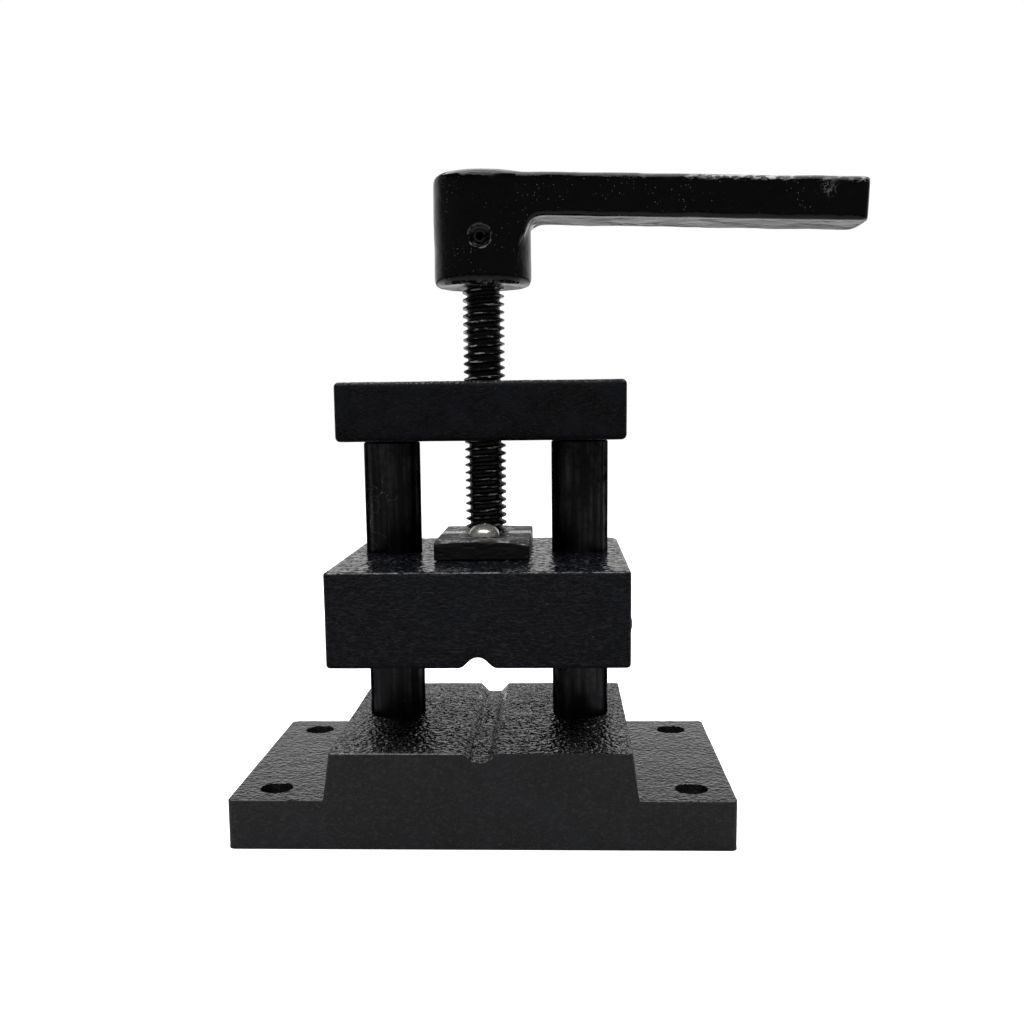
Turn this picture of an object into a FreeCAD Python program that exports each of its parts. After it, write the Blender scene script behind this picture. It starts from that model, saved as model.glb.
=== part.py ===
import FreeCAD, Part
import math
import os

# Two-column screw vise. A cast base with a raised anvil block carries two round
# columns tied together by a top bridge. A heavy upper jaw slides on the columns.
# A trapezoidal screw runs in the tapped bridge and is held in the jaw by two half
# plates. A cast lever is pinned to the top of the screw.
#
# Millimetres. +Z is up, -Y is the front. The origin is the centre of the base's
# underside. The parts stand at half travel, which is the rest position.

# Columns: everything else is set out from these two round guides.
column_diameter = 22.0
column_spacing = 73.6
column_set_back = 6.0
column_chamfer = 1.2
column_socket_depth = 12.0
column_tapping_depth = 24.0
daylight = 109.0

# Base casting: an anvil block on a flange with two ears.
base_depth = 110.0
block_height = 36.0
block_side_wall = 6.7
block_draft = 2.25
ear_height = 18.5
ear_reach = 34.75
ear_hole_diameter = 12.0
ear_hole_side_inset = 15.0
ear_hole_end_inset = 14.5
base_corner_radius = 2.0
base_edge_radius = 1.0
base_root_radius = 1.6
base_groove_width = 12.0
base_groove_floor = 5.0
base_groove_depth = 3.6

# Moving jaw.
jaw_height = 34.4
jaw_depth = 110.5
jaw_side_wall = 5.7
jaw_set_forward = 8.8
jaw_front_corner_radius = 2.0
jaw_rear_corner_radius = 8.0
jaw_edge_radius = 1.0
jaw_groove_width = 11.4
jaw_groove_floor = 3.2
jaw_groove_depth = 3.8
rest_gap = 31.0

# Top bridge.
bridge_height = 22.0
bridge_depth = 66.0
bridge_side_wall = 5.7
bridge_edge_radius = 1.2

# Clamp screw: single-start, right-handed.
screw_major_diameter = 16.0
thread_pitch = 3.0
thread_depth = 1.7
thread_crest = 0.6
thread_root = 0.9
thread_lead_chamfer = 1.0
neck_undercut = 0.3
collar_lip = 2.0
collar_height = 8.0
spigot_top_margin = 4.0

# Half plates that hold the screw's collar down in the jaw.
plate_thickness = 7.0
plate_width = 35.4
plate_front_reach = 34.0
plate_rear_reach = 29.0
plate_split = 1.0
plate_corner_radius = 1.0
plate_countersink_lip = 1.2
thrust_disc_thickness = 3.0

# Lever casting.
hub_diameter = 37.6
hub_height = 41.9
hub_closed_gap = 4.3
arm_reach = 144.0
arm_width = 26.5
arm_thickness = 16.4
arm_droop = 1.9
arm_tip_radius = 4.0
lever_edge_radius = 2.4
lever_blend_radius = 6.0
pin_height_in_hub = 17.4
pin_spotface_diameter = 9.8
pin_end_recess = 1.6

# Slotted spring pin through the hub.
pin_diameter = 5.0
pin_wall = 0.9
pin_slot = 0.8
pin_chamfer = 0.4

# Pan-head screws of the half plates.
pan_thread_diameter = 6.0
pan_head_diameter = 11.6
pan_head_height = 4.8
pan_grip_length = 12.0
pan_recess_span = 6.0
pan_recess_width = 1.3
pan_recess_depth = 2.4

# Socket-head bolts that pull the base and the bridge on to the columns.
bolt_thread_diameter = 10.0
bolt_head_diameter = 16.0
bolt_head_height = 10.0
bolt_socket_flats = 8.0
bolt_socket_depth = 5.0
bolt_grip_length = 20.0
bolt_head_chamfer = 0.8
washer_outer_diameter = 16.6
washer_thickness = 2.2
washer_slot = 1.4

# Clearances. Radial ones are per side.
column_slide_clearance = 0.1
column_socket_clearance = 0.04
thread_clearance = 0.22
neck_clearance = 0.25
collar_side_clearance = 0.3
collar_end_clearance = 0.15
spigot_clearance = 0.04
pin_clearance = 0.02
fastener_clearance = 0.05
through_hole_clearance = 0.4
head_clearance = 0.75
head_recess = 0.3
tapping_end_clearance = 2.0
blind_hole_margin = 3.0
overcut = 5.0

# Places that follow from the sizes above.
column_x = column_spacing / 2.0
column_radius = column_diameter / 2.0
axis_y = column_set_back
block_width = column_spacing + column_diameter + 2.0 * block_side_wall
block_foot_width = block_width + 2.0 * block_draft
base_width = block_foot_width + 2.0 * ear_reach
jaw_width = column_spacing + column_diameter + 2.0 * jaw_side_wall
bridge_width = column_spacing + column_diameter + 2.0 * bridge_side_wall
bridge_bottom = block_height + daylight
bridge_top = bridge_bottom + bridge_height
jaw_bottom = block_height + rest_gap
jaw_top = jaw_bottom + jaw_height
jaw_centre_y = axis_y - jaw_set_forward
plate_top = jaw_top + plate_thickness
hub_bottom = bridge_top + rest_gap + hub_closed_gap
hub_top = hub_bottom + hub_height

screw_major_radius = screw_major_diameter / 2.0
screw_minor_radius = screw_major_radius - thread_depth
neck_radius = screw_minor_radius - neck_undercut
collar_radius = screw_major_radius + collar_lip
countersink_radius = screw_major_radius + plate_countersink_lip
collar_top = jaw_top - collar_end_clearance
collar_bottom = collar_top - collar_height
disc_top = collar_bottom - collar_end_clearance
pocket_floor = disc_top - thrust_disc_thickness
thread_bottom = plate_top + thread_lead_chamfer
pan_offset = countersink_radius + pan_head_diameter / 2.0
bolt_recess_depth = bolt_head_height + washer_thickness + head_recess

UP = FreeCAD.Vector(0, 0, 1)
FRONT = FreeCAD.Vector(0, -1, 0)


def vec(x, y, z):
    return FreeCAD.Vector(x, y, z)


def rod(radius, z_low, z_high, x=0.0, y=0.0):
    """Upright cylinder between two heights."""
    return Part.makeCylinder(radius, z_high - z_low, vec(x, y, z_low), UP)


def cone(radius_low, radius_high, z_low, z_high, x=0.0, y=0.0):
    """Upright cone between two heights."""
    return Part.makeCone(radius_low, radius_high, z_high - z_low, vec(x, y, z_low), UP)


def block(x_low, x_high, y_low, y_high, z_low, z_high):
    """Rectangular block between opposite corners."""
    size = (x_high - x_low, y_high - y_low, z_high - z_low)
    return Part.makeBox(*size, vec(x_low, y_low, z_low))


def prism_along_y(outline, y_low, y_high):
    """Solid with an outline in X and Z, carried from y_low to y_high."""
    points = [vec(x, y_low, z) for x, z in outline]
    face = Part.Face(Part.makePolygon(points + points[:1]))
    return face.extrude(vec(0, y_high - y_low, 0))


def turned(profile, x, y):
    """Solid of revolution about an upright axis, from points of radius and height."""
    points = [vec(x + radius, y, z) for radius, z in profile]
    face = Part.Face(Part.makePolygon(points + points[:1]))
    return face.revolve(vec(x, y, 0), UP, 360)


def one_solid(shape):
    """The single solid that a boolean or a fillet leaves."""
    solids = shape.removeSplitter().Solids
    if len(solids) != 1:
        raise ValueError(f"expected one solid, found {len(solids)}")
    return solids[0]


def is_upright(edge):
    """True for a straight edge along Z."""
    low, high = edge.BoundBox.ZMin, edge.BoundBox.ZMax
    return high - low > 1e-3 and abs(edge.Length - (high - low)) < 1e-6


def runs_front_to_back(edge):
    """True for a straight edge along Y."""
    span = edge.BoundBox.YLength
    return span > 1e-3 and abs(edge.Length - span) < 1e-6


def rounded(shape, radius, wanted):
    """Fillet of the edges that the test picks."""
    edges = [edge for edge in shape.Edges if wanted(edge)]
    return one_solid(shape.makeFillet(radius, edges))


def hexagon_prism(across_flats, z_low, z_high, x, y):
    """Upright hexagonal prism, for a socket."""
    radius = across_flats / math.sqrt(3.0)
    angles = [math.radians(60.0 * corner) for corner in range(6)]
    points = [vec(x + radius * math.cos(a), y + radius * math.sin(a), z_low) for a in angles]
    face = Part.Face(Part.makePolygon(points + points[:1]))
    return face.extrude(vec(0, 0, z_high - z_low))


def thread_body(z_low, z_high, clearance):
    """Right-handed threaded rod on the clamp axis, between two heights.

    The turns stand at the same heights whatever the ends, so that the screw and the
    tapped bridge are in mesh. A clearance above zero gives the cutter of a nut.
    """
    core = screw_minor_radius + clearance
    crest = screw_major_radius + clearance
    root_half = (thread_pitch - thread_root) / 2.0 + clearance
    crest_half = thread_crest / 2.0 + clearance
    buried = thread_depth / 4.0
    flank = (root_half - crest_half) / thread_depth
    turns_before = math.ceil((thread_bottom - z_low) / thread_pitch) + 1
    start = thread_bottom - turns_before * thread_pitch
    turns = math.ceil((z_high - start) / thread_pitch) + 1
    helix = Part.makeHelix(thread_pitch, turns * thread_pitch, core)
    section = [
        (core - buried, -root_half - buried * flank),
        (core - buried, root_half + buried * flank),
        (crest, crest_half),
        (crest, -crest_half),
    ]
    points = [vec(radius, 0, height) for radius, height in section]
    profile = Part.Wire(Part.makePolygon(points + points[:1]))
    ridge = Part.Wire(helix).makePipeShell([profile], True, True)
    ridge.translate(vec(0, axis_y, start))
    stem = rod(core, z_low, z_high, 0, axis_y)
    limits = rod(crest + 1.0, z_low, z_high, 0, axis_y)
    return one_solid(stem.fuse(ridge.common(limits)))


def socket_bolt(x, y, seat, direction):
    """Socket-head bolt whose thread points along direction from the seat height."""
    head_radius = bolt_head_diameter / 2.0
    shank_end = seat + direction * bolt_length()
    head_end = seat - direction * bolt_head_height
    profile = [
        (0, shank_end),
        (bolt_thread_diameter / 2.0 - bolt_head_chamfer, shank_end),
        (bolt_thread_diameter / 2.0, shank_end - direction * bolt_head_chamfer),
        (bolt_thread_diameter / 2.0, seat),
        (head_radius, seat),
        (head_radius, head_end + direction * bolt_head_chamfer),
        (head_radius - bolt_head_chamfer, head_end),
        (0, head_end),
    ]
    socket_floor = head_end + direction * bolt_socket_depth
    socket_low = min(head_end, socket_floor)
    socket_high = max(head_end, socket_floor)
    socket = hexagon_prism(bolt_socket_flats, socket_low, socket_high, x, y)
    return one_solid(turned(profile, x, y).cut(socket))


def base_web():
    """Thickness of base between a bolt's washer and the foot of its column."""
    return block_height - column_socket_depth - bolt_recess_depth


def bridge_web():
    """Thickness of bridge between a bolt's washer and the top of its column."""
    return bridge_height - bolt_recess_depth


def bolt_length():
    """Length under the head that reaches full grip through the thicker web."""
    return washer_thickness + max(base_web(), bridge_web()) + bolt_grip_length


def spring_washer(x, y, z_low):
    """Split spring washer, drawn flat."""
    outer = rod(washer_outer_diameter / 2.0, z_low, z_low + washer_thickness, x, y)
    bore = bolt_thread_diameter / 2.0 + fastener_clearance
    ring = outer.cut(rod(bore, z_low - overcut, z_low + washer_thickness + overcut, x, y))
    half_slot = washer_slot / 2.0
    reach = washer_outer_diameter
    slot = block(x, x + reach, y - half_slot, y + half_slot, z_low - overcut, z_low + overcut)
    slot.rotate(vec(x, y, 0), UP, 35.0)
    return one_solid(ring.cut(slot))


def bolt_hole(x, y, z_low, z_high):
    """Cutter of a bolt's through hole."""
    radius = bolt_thread_diameter / 2.0 + through_hole_clearance
    return rod(radius, z_low, z_high, x, y)


def bolt_counterbore(x, y, z_low, z_high):
    """Cutter of the recess that hides a bolt's head and washer."""
    radius = washer_outer_diameter / 2.0 + head_clearance
    return rod(radius, z_low, z_high, x, y)


def base_outline():
    """Front view of the base: ears, block with drafted sides, and the groove."""
    return [
        (-base_width / 2.0, 0),
        (base_width / 2.0, 0),
        (base_width / 2.0, ear_height),
        (block_foot_width / 2.0, ear_height),
        (block_width / 2.0, block_height),
        (base_groove_width / 2.0, block_height),
        (base_groove_floor / 2.0, block_height - base_groove_depth),
        (-base_groove_floor / 2.0, block_height - base_groove_depth),
        (-base_groove_width / 2.0, block_height),
        (-block_width / 2.0, block_height),
        (-block_foot_width / 2.0, ear_height),
        (-base_width / 2.0, ear_height),
    ]


def base_casting():
    """Base with its ear holes, column sockets and hidden bolt recesses."""
    half_depth = base_depth / 2.0
    shape = prism_along_y(base_outline(), -half_depth, half_depth)
    shape = rounded(shape, base_corner_radius, is_upright)
    roots = (-block_foot_width / 2.0, block_foot_width / 2.0)

    def at_block_root(edge):
        centre = edge.BoundBox.Center
        beside_root = min(abs(centre.x - root) for root in roots) < 1e-3
        return runs_front_to_back(edge) and beside_root and abs(centre.z - ear_height) < 1e-3

    shape = rounded(shape, base_root_radius, at_block_root)

    def on_block_side_top(edge):
        centre = edge.BoundBox.Center
        on_top = abs(centre.z - block_height) < 1e-3
        at_side = abs(abs(centre.x) - block_width / 2.0) < 1e-3
        return runs_front_to_back(edge) and on_top and at_side

    shape = rounded(shape, base_edge_radius, on_block_side_top)
    hole_x = base_width / 2.0 - ear_hole_side_inset
    hole_y = half_depth - ear_hole_end_inset
    for side in (-1, 1):
        for end in (-1, 1):
            hole = rod(ear_hole_diameter / 2.0, -overcut, ear_height + overcut)
            hole.translate(vec(side * hole_x, end * hole_y, 0))
            shape = shape.cut(hole)
        x = side * column_x
        socket_floor = block_height - column_socket_depth
        socket_radius = column_radius + column_socket_clearance
        shape = shape.cut(rod(socket_radius, socket_floor, block_height + overcut, x, axis_y))
        shape = shape.cut(bolt_hole(x, axis_y, -overcut, block_height))
        shape = shape.cut(bolt_counterbore(x, axis_y, -overcut, bolt_recess_depth))
    return one_solid(shape)


def guide_column(x):
    """Round column, chamfered and tapped at both ends."""
    low = block_height - column_socket_depth
    high = bridge_bottom
    profile = [
        (0, low),
        (column_radius - column_chamfer, low),
        (column_radius, low + column_chamfer),
        (column_radius, high - column_chamfer),
        (column_radius - column_chamfer, high),
        (0, high),
    ]
    shape = turned(profile, x, axis_y)
    radius = bolt_thread_diameter / 2.0 + fastener_clearance
    depth = max(column_tapping_depth, bolt_grip_length + blind_hole_margin)
    shape = shape.cut(rod(radius, low - overcut, low + depth, x, axis_y))
    return one_solid(shape.cut(rod(radius, high - depth, high + overcut, x, axis_y)))


def top_bridge():
    """Bridge, tapped for the screw and bored for the flush bolts."""
    half_width = bridge_width / 2.0
    half_depth = bridge_depth / 2.0
    shape = block(
        -half_width, half_width, axis_y - half_depth, axis_y + half_depth, bridge_bottom, bridge_top
    )
    shape = rounded(shape, bridge_edge_radius, lambda edge: True)
    for side in (-1, 1):
        x = side * column_x
        shape = shape.cut(bolt_hole(x, axis_y, bridge_bottom - overcut, bridge_top))
        recess_floor = bridge_top - bolt_recess_depth
        shape = shape.cut(bolt_counterbore(x, axis_y, recess_floor, bridge_top + overcut))
    nut = thread_body(bridge_bottom - overcut, bridge_top + overcut, thread_clearance)
    mouth = screw_major_radius + thread_clearance + thread_lead_chamfer / 2.0
    core = screw_minor_radius
    reach = mouth - core
    lower = cone(mouth, core, bridge_bottom, bridge_bottom + reach, 0, axis_y)
    upper = cone(core, mouth, bridge_top - reach, bridge_top, 0, axis_y)
    return one_solid(shape.cut(nut).cut(lower).cut(upper))


def jaw_outline():
    """Front view of the jaw: a rectangle with a groove in its underside."""
    half_width = jaw_width / 2.0
    apex = jaw_bottom + jaw_groove_depth
    return [
        (-half_width, jaw_bottom),
        (-jaw_groove_width / 2.0, jaw_bottom),
        (-jaw_groove_floor / 2.0, apex),
        (jaw_groove_floor / 2.0, apex),
        (jaw_groove_width / 2.0, jaw_bottom),
        (half_width, jaw_bottom),
        (half_width, jaw_top),
        (-half_width, jaw_top),
    ]


def moving_jaw():
    """Jaw block with its column bores, screw pocket and tapped holes."""
    y_low = jaw_centre_y - jaw_depth / 2.0
    y_high = jaw_centre_y + jaw_depth / 2.0
    shape = prism_along_y(jaw_outline(), y_low, y_high)

    def front_corner(edge):
        return is_upright(edge) and abs(edge.BoundBox.YMin - y_low) < 1e-3

    def rear_corner(edge):
        return is_upright(edge) and abs(edge.BoundBox.YMax - y_high) < 1e-3

    def long_side(edge):
        at_side = abs(abs(edge.BoundBox.Center.x) - jaw_width / 2.0) < 1e-3
        return runs_front_to_back(edge) and at_side

    shape = rounded(shape, jaw_front_corner_radius, front_corner)
    shape = rounded(shape, jaw_rear_corner_radius, rear_corner)
    shape = rounded(shape, jaw_edge_radius, long_side)
    bore = column_radius + column_slide_clearance
    for side in (-1, 1):
        x = side * column_x
        shape = shape.cut(rod(bore, jaw_bottom - overcut, jaw_top + overcut, x, axis_y))
    pocket = collar_radius + collar_side_clearance
    shape = shape.cut(rod(pocket, pocket_floor, jaw_top + overcut, 0, axis_y))
    tapped = pan_thread_diameter / 2.0 + fastener_clearance
    tapped_floor = jaw_top - pan_grip_length - tapping_end_clearance
    for side in (-1, 1):
        y = axis_y + side * pan_offset
        shape = shape.cut(rod(tapped, tapped_floor, jaw_top + overcut, 0, y))
    return one_solid(shape)


def clamp_screw():
    """Screw with its collar, neck, thread and the plain end that fits the lever."""
    spigot_top = hub_top - spigot_top_margin
    shape = thread_body(thread_bottom, hub_bottom, 0.0)
    lower = [
        (0, collar_bottom),
        (collar_radius - bolt_head_chamfer, collar_bottom),
        (collar_radius, collar_bottom + bolt_head_chamfer),
        (collar_radius, collar_top),
        (neck_radius, collar_top),
        (neck_radius, thread_bottom),
        (0, thread_bottom),
    ]
    upper = [
        (0, hub_bottom),
        (screw_minor_radius, hub_bottom),
        (screw_minor_radius, spigot_top - bolt_head_chamfer),
        (screw_minor_radius - bolt_head_chamfer, spigot_top),
        (0, spigot_top),
    ]
    shape = shape.fuse(turned(lower, 0, axis_y)).fuse(turned(upper, 0, axis_y))
    shape = shape.cut(pin_hole(pin_diameter / 2.0 + pin_clearance))
    return one_solid(shape)


def thrust_disc():
    """Hardened disc that the screw's collar bears on."""
    radius = collar_radius
    return rod(radius, pocket_floor, disc_top, 0, axis_y)


def pin_hole(radius):
    """Cutter of the cross hole through the hub and the screw."""
    length = hub_diameter + 2.0 * overcut
    start = vec(0, axis_y + length / 2.0, hub_bottom + pin_height_in_hub)
    return Part.makeCylinder(radius, length, start, FRONT)


def pin_spotface(side):
    """Cone that opens the cross hole where it leaves the hub."""
    mouth = pin_spotface_diameter / 2.0
    throat = pin_diameter / 2.0 + pin_clearance
    start = vec(0, axis_y + side * hub_diameter / 2.0, hub_bottom + pin_height_in_hub)
    return Part.makeCone(mouth, throat, mouth - throat, start, FRONT * side)


def lever_handle():
    """Lever: upright hub and flat arm under one sloping top face."""
    radius = hub_diameter / 2.0
    rise = 2.0 * radius * math.tan(math.radians(arm_droop))
    hub = rod(radius, hub_bottom, hub_top + rise, 0, axis_y)
    half_arm = arm_width / 2.0
    arm = block(0, arm_reach, axis_y - half_arm, axis_y + half_arm, hub_top - arm_thickness, hub_top)
    waste = block(
        -arm_reach, arm_reach, axis_y - arm_width, axis_y + arm_width, hub_top, hub_top + arm_width
    )
    for shape in (arm, waste):
        shape.rotate(vec(0, axis_y, hub_top), vec(0, 1, 0), arm_droop)

    tip_x = arm_reach * math.cos(math.radians(arm_droop))

    def tip_corner(edge):
        at_tip = edge.BoundBox.Center.x > tip_x - arm_thickness
        return at_tip and edge.BoundBox.YLength < 1e-3 and edge.BoundBox.ZLength > arm_thickness / 2.0

    arm = rounded(arm, arm_tip_radius, tip_corner)
    body = one_solid(hub.cut(waste).fuse(arm))

    def at_junction(edge):
        box = edge.BoundBox
        near_hub = box.XMin > 1.0 and box.XMax < radius + 1.0
        return near_hub and box.ZMax < hub_top - 1.0 or near_hub and box.ZLength > arm_thickness / 2.0

    body = rounded(body, lever_blend_radius, at_junction)

    def outer_edge(edge):
        box = edge.BoundBox
        on_hub_foot = box.ZMax < hub_bottom + 1e-3
        on_top = box.ZMax > hub_top - arm_reach * math.tan(math.radians(arm_droop)) - 1.0
        return on_hub_foot or on_top and box.ZLength < arm_thickness / 2.0

    body = rounded(body, lever_edge_radius, outer_edge)
    bore = screw_minor_radius + spigot_clearance
    spigot_room = hub_top - spigot_top_margin + spigot_clearance
    body = body.cut(rod(bore, hub_bottom - overcut, spigot_room, 0, axis_y))
    body = body.cut(pin_hole(pin_diameter / 2.0 + pin_clearance))
    for side in (-1, 1):
        body = body.cut(pin_spotface(side))
    return one_solid(body)


def lever_roll_pin():
    """Slotted spring pin, a little shorter than the hub is wide."""
    half_length = hub_diameter / 2.0 - pin_end_recess
    radius = pin_diameter / 2.0
    inner = radius - pin_wall
    height = hub_bottom + pin_height_in_hub
    profile = [
        (inner, -half_length),
        (radius - pin_chamfer, -half_length),
        (radius, -half_length + pin_chamfer),
        (radius, half_length - pin_chamfer),
        (radius - pin_chamfer, half_length),
        (inner, half_length),
    ]
    shape = turned(profile, 0, 0)
    slot = block(0, pin_diameter, -pin_slot / 2.0, pin_slot / 2.0, -hub_diameter, hub_diameter)
    shape = shape.cut(slot)
    shape.rotate(vec(0, 0, 0), vec(1, 0, 0), 90.0)
    shape.translate(vec(0, axis_y, height))
    return one_solid(shape)


def retainer_plate(side):
    """Half plate round the screw's neck, on the front (-1) or rear (1) of the axis."""
    reach = plate_rear_reach if side > 0 else plate_front_reach
    y_inner = axis_y + side * plate_split / 2.0
    y_outer = axis_y + side * reach
    half_width = plate_width / 2.0
    shape = block(
        -half_width, half_width, min(y_inner, y_outer), max(y_inner, y_outer), jaw_top, plate_top
    )

    def outer_corner(edge):
        return is_upright(edge) and abs(edge.BoundBox.Center.y - y_outer) < 1e-3

    shape = rounded(shape, plate_corner_radius, outer_corner)
    neck_hole = neck_radius + neck_clearance
    shape = shape.cut(rod(neck_hole, jaw_top - overcut, plate_top + overcut, 0, axis_y))
    sink_depth = countersink_radius - neck_hole
    sink = cone(neck_hole, countersink_radius, plate_top - sink_depth, plate_top, 0, axis_y)
    shape = shape.cut(sink)
    screw_hole = pan_thread_diameter / 2.0 + through_hole_clearance
    y = axis_y + side * pan_offset
    return one_solid(shape.cut(rod(screw_hole, jaw_top - overcut, plate_top + overcut, 0, y)))


def retainer_screw(side):
    """Pan-head screw with a cross recess, in one half plate."""
    y = axis_y + side * pan_offset
    head_radius = pan_head_diameter / 2.0
    head_top = plate_top + pan_head_height
    crown = pan_head_height * 0.55
    head_side = pan_head_height - crown
    sphere_radius = (head_radius ** 2 + crown ** 2) / (2.0 * crown)
    dome = Part.makeSphere(sphere_radius, vec(0, y, head_top - sphere_radius))
    head = rod(head_radius, plate_top, plate_top + head_side, 0, y)
    crown_part = dome.common(rod(head_radius, plate_top + head_side, head_top + 1.0, 0, y))
    shank_end = jaw_top - pan_grip_length
    shank = rod(pan_thread_diameter / 2.0, shank_end, plate_top, 0, y)
    shape = one_solid(head.fuse(crown_part).fuse(shank))
    half_span = pan_recess_span / 2.0
    half_width = pan_recess_width / 2.0
    floor = head_top - pan_recess_depth
    outline = [
        (-half_width, floor),
        (half_width, floor),
        (half_span, head_top + 1.0),
        (-half_span, head_top + 1.0),
    ]
    for angle in (45.0, 135.0):
        wing = prism_along_y(outline, y - half_width, y + half_width)
        wing.rotate(vec(0, y, 0), UP, angle)
        shape = shape.cut(wing)
    return one_solid(shape)


def build_nodes():
    """Every sub-part by its node name."""
    nodes = {
        "base_casting": base_casting(),
        "top_bridge": top_bridge(),
        "moving_jaw": moving_jaw(),
        "clamp_screw": clamp_screw(),
        "thrust_disc": thrust_disc(),
        "lever_handle": lever_handle(),
        "lever_roll_pin": lever_roll_pin(),
    }
    base_washer_seat = bolt_recess_depth
    bridge_washer_seat = bridge_top - bolt_recess_depth
    for name, side in (("left", -1), ("right", 1)):
        x = side * column_x
        nodes[f"guide_column_{name}"] = guide_column(x)
        base_head = base_washer_seat - washer_thickness
        bridge_head = bridge_washer_seat + washer_thickness
        nodes[f"base_bolt_{name}"] = socket_bolt(x, axis_y, base_head, 1)
        nodes[f"base_washer_{name}"] = spring_washer(x, axis_y, base_head)
        nodes[f"bridge_bolt_{name}"] = socket_bolt(x, axis_y, bridge_head, -1)
        nodes[f"bridge_washer_{name}"] = spring_washer(x, axis_y, bridge_washer_seat)
    for name, side in (("front", -1), ("rear", 1)):
        nodes[f"retainer_plate_{name}"] = retainer_plate(side)
        nodes[f"retainer_screw_{name}"] = retainer_screw(side)
    return nodes


def main():
    """Write one STEP file for each node."""
    os.makedirs("parts", exist_ok=True)
    for name, shape in build_nodes().items():
        shape.exportStep(f"parts/{name}.step")
        box = shape.BoundBox
        print(f"{name}: {shape.Volume / 1000.0:.2f} cm3, z {box.ZMin:.2f} to {box.ZMax:.2f}")


main()
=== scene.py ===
"""Looks of a two-column screw vise: cast and painted pieces, machined steel, bright screws.

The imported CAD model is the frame. Castings, sheared plates and small screws are rebuilt
here as finer meshes; turned and threaded steel keeps its CAD shape and gets its finish.
Lengths in this file are in millimetres until a mesh is finished, and metres after that.
"""

import logging
import math
from dataclasses import dataclass, field
from enum import Enum

import bmesh
import bpy
from mathutils import Matrix, Vector, noise

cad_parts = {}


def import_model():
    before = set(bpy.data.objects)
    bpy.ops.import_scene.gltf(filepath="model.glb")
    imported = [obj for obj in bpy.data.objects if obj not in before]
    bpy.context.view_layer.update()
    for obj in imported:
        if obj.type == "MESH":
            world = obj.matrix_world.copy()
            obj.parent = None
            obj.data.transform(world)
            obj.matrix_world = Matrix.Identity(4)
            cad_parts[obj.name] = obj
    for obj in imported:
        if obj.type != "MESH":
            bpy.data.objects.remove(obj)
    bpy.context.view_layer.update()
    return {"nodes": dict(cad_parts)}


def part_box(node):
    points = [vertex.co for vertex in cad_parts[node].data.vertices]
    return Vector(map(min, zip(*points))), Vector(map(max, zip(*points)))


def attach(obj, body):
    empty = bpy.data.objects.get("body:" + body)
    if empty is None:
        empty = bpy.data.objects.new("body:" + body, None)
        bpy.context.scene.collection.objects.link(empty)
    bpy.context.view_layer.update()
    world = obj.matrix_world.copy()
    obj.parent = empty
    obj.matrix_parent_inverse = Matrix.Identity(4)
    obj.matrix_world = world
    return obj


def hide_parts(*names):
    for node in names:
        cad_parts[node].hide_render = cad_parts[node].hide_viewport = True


LOG = logging.getLogger("vise")
MM = 0.001
WELD = 0.0015 * MM  # points nearer than this are one
WELD_ROUNDS = 4
SHARP_FROM = 25.0  # degrees between faces
LEVEL = 0.99  # normal's Z of a face that looks straight up
UPWARD = 0.6  # normal's Z of a point that counts as on top
OVERCUT = 5.0  # how far a cutter runs past the face that it opens
TOUCH = 0.01  # places nearer than this are level
NOWHERE = -1e9
FADE_OUT = (1.0, 0.0)
WHITE = (1.0, 1.0, 1.0, 1.0)

Point = tuple[float, float]
Colour = tuple[float, float, float, float]
Socket = bpy.types.NodeSocket
Node = bpy.types.Node
Tree = bpy.types.NodeTree
Material = bpy.types.Material
Mesh = bpy.types.Mesh
Object = bpy.types.Object
Edge = bmesh.types.BMEdge
Face = bmesh.types.BMFace


class Side(Enum):
    """Which way a mirrored piece lies from the middle."""

    LEFT = -1
    RIGHT = 1


class End(Enum):
    """Which way a piece lies from the clamp axis, front to back."""

    FRONT = -1
    REAR = 1


# --------------------------------------------------------------------------- node graphs


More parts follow.
